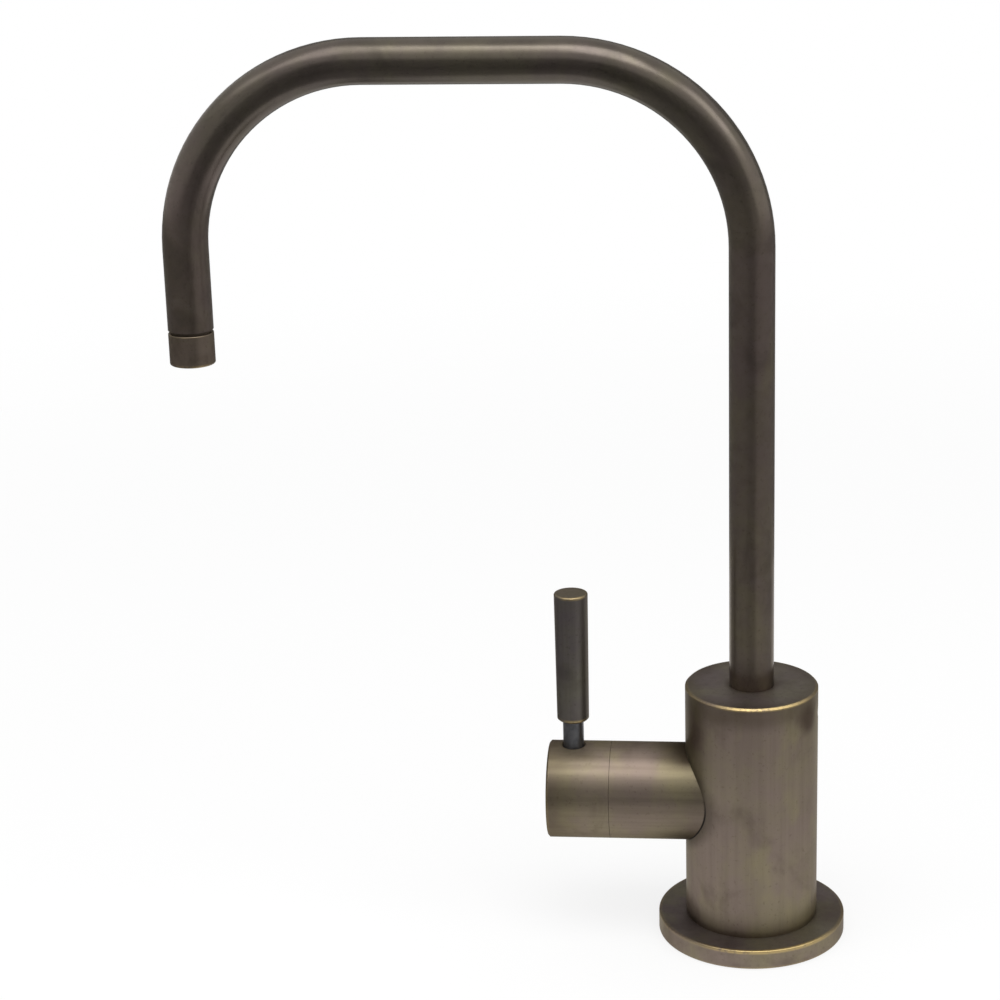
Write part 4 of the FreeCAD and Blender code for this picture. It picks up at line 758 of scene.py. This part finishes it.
def threaded_shank(shape):
    """A mesh maker for the bored shank, with a plain pilot at its foot and a thread above it."""
    outer, low, high = SHANK_HIGH.x, SHANK_LOW.z, SHANK_HIGH.z
    pilot_top = low + shape.pilot_length
    pilot, bevel = outer - shape.pilot_step, shape.pilot_step / 2
    rows = max(2, round((high - pilot_top) / shape.thread_pitch * ROWS_PER_PITCH))
    steps = shape.steps_round // 2

    def make(mesh):
        rings = []
        for row in range(rows + 1):
            z = pilot_top + (high - pilot_top) * row / rows
            fade = min(1.0, (z - pilot_top) / shape.pilot_step, (high - z) / shape.pilot_step)
            radii = []
            for step in range(steps):
                phase = (z / shape.thread_pitch - step / steps) % 1.0
                crest = min(1.0, abs(2 * phase - 1) * CREST_SLOPE)
                radii.append(outer - shape.thread_depth * (1 - crest) * fade)
            rings.append(ring(mesh, radii, z))
        for radius, z in ((shape.shank_bore, high), (shape.shank_bore, low), (pilot - bevel, low),
                          (pilot, low + bevel), (pilot, pilot_top)):
            rings.append(ring(mesh, [radius] * steps, z))
        for i, here in enumerate(rings):
            bridge(mesh, here, rings[(i + 1) % len(rings)])
    return make


class TAP_OT_deck_clamp(bpy.types.Operator):
    """Makes the threaded shank and finishes the washers, the nut and the gasket"""

    bl_idname = "tap.deck_clamp"
    bl_label = "Deck clamp"

    def execute(self, context):
        shape = context.scene.tap_shape
        colours = context.scene.tap_finish
        brass = turned_metal("shank_brass", colours.brass, linear(150, 118, 66), 0.26, (40.0, 40.0, 900.0))
        new_piece("mounting_shank_threaded", threaded_shank(shape), brass, "tap",
                  ("mounting_shank",), sharp=50.0)
        dress("mounting_nut", turned_metal("nut_brass", colours.brass, linear(140, 108, 60), 0.3,
                                           (500.0, 500.0, 30.0)))
        steel = turned_metal("washer_steel", linear(196, 196, 194), linear(140, 138, 134), 0.28,
                             (300.0, 300.0, 300.0))
        rubber = soft_plastic("black_rubber", linear(40, 40, 41), linear(60, 59, 58), 0.62, 1100.0)
        dress("clamp_steel_washer", steel)
        dress("clamp_rubber_washer", rubber)
        dress("flange_gasket", rubber)
        return {"FINISHED"}


class TAP_OT_water_tails(bpy.types.Operator):
    """Finishes the three copper water tails"""

    bl_idname = "tap.water_tails"
    bl_label = "Water tails"

    def execute(self, context):
        colours = context.scene.tap_finish
        copper = turned_metal("tail_copper", colours.copper, linear(140, 78, 56), 0.24, (200.0, 200.0, 14.0))
        for node in ("cold_feed_tail", "tank_feed_tail", "hot_return_tail"):
            dress(node, copper)
        return {"FINISHED"}


class TAP_OT_valve(bpy.types.Operator):
    """Finishes the valve inside the side arm"""

    bl_idname = "tap.valve"
    bl_label = "Valve"

    def execute(self, context):
        colours = context.scene.tap_finish
        brass = turned_metal("valve_brass", colours.brass, linear(150, 120, 70), 0.28, (700.0, 60.0, 60.0))
        rubber = soft_plastic("seal_rubber", linear(36, 36, 38), linear(54, 53, 53), 0.6, 1500.0)
        ceramic = soft_plastic("disc_ceramic", linear(236, 232, 224), linear(220, 214, 202), 0.22, 2600.0,
                               depth=0.00001)
        steel = plain_steel("spring_steel")
        bush = soft_plastic("bush_plastic", linear(52, 50, 48), linear(70, 68, 64), 0.45, 1500.0)
        for material, nodes in (
            (brass, ("cartridge_body", "spindle")),
            (rubber, ("cartridge_seal", "seat_seal", "spindle_ring_inner", "spindle_ring_outer")),
            (ceramic, ("fixed_disc", "moving_disc")),
            (steel, ("spindle_clip", "stop_washer")),
            (bush, ("hub_bush",)),
        ):
            for node in nodes:
                dress(node, material)
        return {"FINISHED"}


def wire_tube(points, outwards, radius, sides=12):
    """A mesh maker for round wire along points, with a direction across the wire at each of them."""
    def make(mesh):
        rings = []
        for i, (point, out) in enumerate(zip(points, outwards)):
            along = (points[min(i + 1, len(points) - 1)] - points[max(i - 1, 0)]).normalized()
            side = along.cross(out).normalized()
            across = side.cross(along)
            rings.append([
                mesh.verts.new(point + (across * math.cos(turn) + side * math.sin(turn)) * radius)
                for turn in (2 * math.pi * step / sides for step in range(sides))])
        for here, ahead in zip(rings, rings[1:]):
            bridge(mesh, here, ahead)
        mesh.faces.new(rings[0])
        mesh.faces.new(rings[-1])
    return make


class TAP_OT_return_spring(bpy.types.Operator):
    """Makes the return spring at rest; on the real tap it twists as the lever turns"""

    bl_idname = "tap.return_spring"
    bl_label = "Return spring"

    def execute(self, context):
        shape = context.scene.tap_shape
        wire, leg, bend = shape.spring_wire, shape.spring_leg, shape.spring_bend
        turns, pitch = shape.spring_turns, shape.spring_pitch
        near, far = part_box("return_spring")
        inner, outer = -far.x, -near.x
        radius = far.y - wire
        start = inner + leg + bend
        end = start + turns * pitch
        last = math.pi - 2 * math.pi * turns
        bend_steps, turn_steps = 6, 32
        quarter = [math.pi / 2 * step / bend_steps for step in range(bend_steps + 1)]
        path = [(math.pi + bend / radius, inner)]
        path += [(math.pi + bend * math.cos(u) / radius, start - bend + bend * math.sin(u)) for u in quarter]
        steps = turn_steps * turns
        path += [(math.pi + (last - math.pi) * step / steps, start + (end - start) * step / steps)
                 for step in range(1, steps)]
        path += [(last - bend * math.sin(u) / radius, end + bend - bend * math.cos(u)) for u in quarter]
        path.append((last - bend / radius, outer))
        outwards = [Vector((0.0, math.cos(angle), math.sin(angle))) for angle, _ in path]
        points = [Vector((-out, 0.0, ARM_AXIS)) + way * radius for way, (_, out) in zip(outwards, path)]
        steel = plain_steel("return_spring_steel")
        spring = new_piece("return_spring_wound", wire_tube(points, outwards, wire), steel, None,
                           ("return_spring",))
        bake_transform(spring)
        return {"FINISHED"}


class TAP_OT_swivel(bpy.types.Operator):
    """Finishes the swivel insert, the rubber rings, the outlet's washer, the glide ring and the set screws"""

    bl_idname = "tap.swivel"
    bl_label = "Swivel and set screws"

    def execute(self, context):
        colours = context.scene.tap_finish
        dress("swivel_insert", turned_metal("insert_brass", colours.brass, linear(150, 120, 70), 0.25,
                                            (60.0, 60.0, 700.0)))
        rubber = soft_plastic("ring_rubber", linear(36, 36, 38), linear(54, 53, 53), 0.55, 1500.0)
        for node in ("spout_ring_upper", "spout_ring_lower", "outlet_washer"):
            dress(node, rubber)
        dress("glide_ring", soft_plastic("glide_plastic", linear(226, 224, 214), linear(206, 202, 190),
                                         0.4, 1500.0))
        steel = black_steel("screw_steel")
        for node in ("spout_grub_screw", "hub_grub_screw"):
            dress(node, steel)
        return {"FINISHED"}


class TAP_OT_studio(bpy.types.Operator):
    """Sets up the floor, the lights and the camera"""

    bl_idname = "tap.studio"
    bl_label = "Studio"

    def execute(self, context):
        studio = context.scene.tap_studio
        context.scene.view_settings.view_transform = "Standard"
        self.make_world(context, studio)
        self.make_floor(studio)
        self.make_cards(studio)
        self.make_lamps(studio)
        self.make_camera(context, studio)
        return {"FINISHED"}

    def make_world(self, context, studio):
        """White where it is seen or mirrored, and a plain even light elsewhere."""
        world = bpy.data.worlds.new("studio_world")
        context.scene.world = world
        world.use_nodes = True
        world.node_tree.nodes.clear()
        nodes = Nodes(world.node_tree)
        light, white = [nodes.node("ShaderNodeBackground", inputs={"Color": (1, 1, 1), "Strength": strength})
                        for strength in (studio.room_light, 1.0)]
        mixed = nodes.node("ShaderNodeMixShader", inputs={0: nodes.mirrored(), 1: light, 2: white})
        nodes.node("ShaderNodeOutputWorld", inputs={"Surface": mixed})

    def make_floor(self, studio):
        """A round floor that thins out into the white background."""
        finish = Finish("floor_white")
        east, north, _ = finish.axes()
        distance = finish.away(east, north)
        finish.set(Base_Color=studio.floor_colour, Roughness=0.9, Specular_IOR_Level=0.0,
                   Alpha=finish.ease(distance, studio.floor_radius * 0.98, studio.floor_radius * 0.3))
        finish.whiten(studio.floor_whitening)
        hole = SHANK_HIGH.x + studio.floor_gap
        made = bmesh.new()
        sweep(made, ((hole, -studio.floor_drop), (studio.floor_radius, -studio.floor_drop)), 0, 360, 96)
        stage_piece("floor", made, finish.material)

    def make_cards(self, studio):
        """Curved grey cards all round, which only the metal mirrors; the one in front is the darkest."""
        radius, height, foot = studio.card_radius, studio.card_height, studio.card_foot
        lift, steps = 0.002, 32
        for name, start, end, bottom, top, inwards, grey in (
            ("front_card", 250, 290, 0.0, height, foot, 0.21),
            ("brow_card", 225, 315, height, height * 1.7, 0.0, 0.3),
            ("left_card", 140, 250, 0.0, height, foot, 0.28),
            ("left_brow_card", 140, 225, height, height * 1.9, 0.0, 0.72),
            ("right_card", 290, 395, 0.0, height, foot, 0.42),
            ("back_card", 35, 140, 0.0, height * 2.2, 0.0, 0.3),
        ):
            finish = Finish(name + "_grey")
            finish.set(Base_Color=(grey,) * 3, Roughness=1.0, Specular_IOR_Level=0.0)
            made = bmesh.new()
            if inwards:
                sweep(made, ((radius - inwards, bottom + lift), (radius, bottom + lift)), start, end, steps)
            sweep(made, ((radius, bottom + lift), (radius, top)), start, end, steps)
            card = stage_piece(name, made, finish.material)
            card.visible_camera = False
            card.visible_diffuse = False
            card.visible_shadow = False
            card.visible_transmission = False

    def make_lamps(self, studio):
        """Soft lamps: two side by side, nearly overhead and a little to the front, and one on each side."""
        aim = Vector((-0.06, 0.0, 0.2))
        for name, power, place, size in (
            ("softbox", studio.softbox_power, (0.08, -0.295, 0.95), studio.softbox_size),
            ("fill", studio.fill_power, (-0.36, -0.295, 0.95), studio.softbox_size),
            ("left_lamp", studio.side_power[0], (-0.85, -0.25, 0.72), (0.4, 0.4)),
            ("right_lamp", studio.side_power[1], (0.65, -0.25, 0.75), (0.4, 0.4)),
        ):
            data = bpy.data.lights.new(name, "AREA")
            data.shape = "RECTANGLE"
            data.size, data.size_y = size
            data.energy = power
            lamp = bpy.data.objects.new(name, data)
            bpy.context.scene.collection.objects.link(lamp)
            lamp.location = place
            lamp.rotation_euler = (aim - lamp.location).to_track_quat("-Z", "Y").to_euler()
            lamp.visible_camera = False

    def make_camera(self, context, studio):
        """The camera at the photograph's place and framing."""
        data = bpy.data.cameras.new("camera")
        data.sensor_width = 36.0
        data.lens = studio.lens
        data.shift_x, data.shift_y = studio.shift
        data.clip_start = 0.01
        data.clip_end = 50.0
        camera = bpy.data.objects.new("camera", data)
        context.scene.collection.objects.link(camera)
        tilt, pan = studio.camera_tilt, studio.camera_pan
        ahead = Vector((math.sin(pan) * math.cos(tilt), math.cos(pan) * math.cos(tilt), -math.sin(tilt)))
        side = ahead.cross(Vector((0, 0, 1))).normalized()
        above = side.cross(ahead)
        lean = studio.camera_roll
        right = side * math.cos(lean) + above * math.sin(lean)
        up = above * math.cos(lean) - side * math.sin(lean)
        turn = Matrix((right, up, -ahead)).transposed().to_4x4()
        place = Matrix.Translation((studio.camera_side, -studio.camera_back, studio.camera_height))
        camera.matrix_world = place @ turn
        context.scene.camera = camera


OPERATORS = (
    TAP_OT_upright_body, TAP_OT_side_arm, TAP_OT_lever, TAP_OT_spout, TAP_OT_deck_clamp,
    TAP_OT_water_tails, TAP_OT_valve, TAP_OT_return_spring, TAP_OT_swivel, TAP_OT_studio,
)


class TAP_PT_sidebar(bpy.types.Panel):
    """Lists the sizes, the colours and the operators"""

    bl_idname = "TAP_PT_sidebar"
    bl_label = "Hot water tap"
    bl_space_type = "VIEW_3D"
    bl_region_type = "UI"
    bl_category = "Tap"

    def draw(self, context):
        for settings in (context.scene.tap_shape, context.scene.tap_finish, context.scene.tap_studio):
            column = self.layout.column(align=True)
            for name in settings.__annotations__:
                column.prop(settings, name)
        column = self.layout.column()
        for operator in OPERATORS:
            column.operator(operator.bl_idname)


CLASSES = (TapShape, TapFinish, TapStudio, *OPERATORS, TAP_PT_sidebar)


def register():
    for cls in CLASSES:
        bpy.utils.register_class(cls)
    bpy.types.Scene.tap_shape = bpy.props.PointerProperty(type=TapShape)
    bpy.types.Scene.tap_finish = bpy.props.PointerProperty(type=TapFinish)
    bpy.types.Scene.tap_studio = bpy.props.PointerProperty(type=TapStudio)


def unregister():
    del bpy.types.Scene.tap_studio
    del bpy.types.Scene.tap_finish
    del bpy.types.Scene.tap_shape
    for cls in reversed(CLASSES):
        bpy.utils.unregister_class(cls)


def main():
    """Builds the dressed tap."""
    register()
    for operator in OPERATORS:
        group, name = operator.bl_idname.split(".")
        getattr(getattr(bpy.ops, group), name)()


if __name__ == "__main__":
    main()
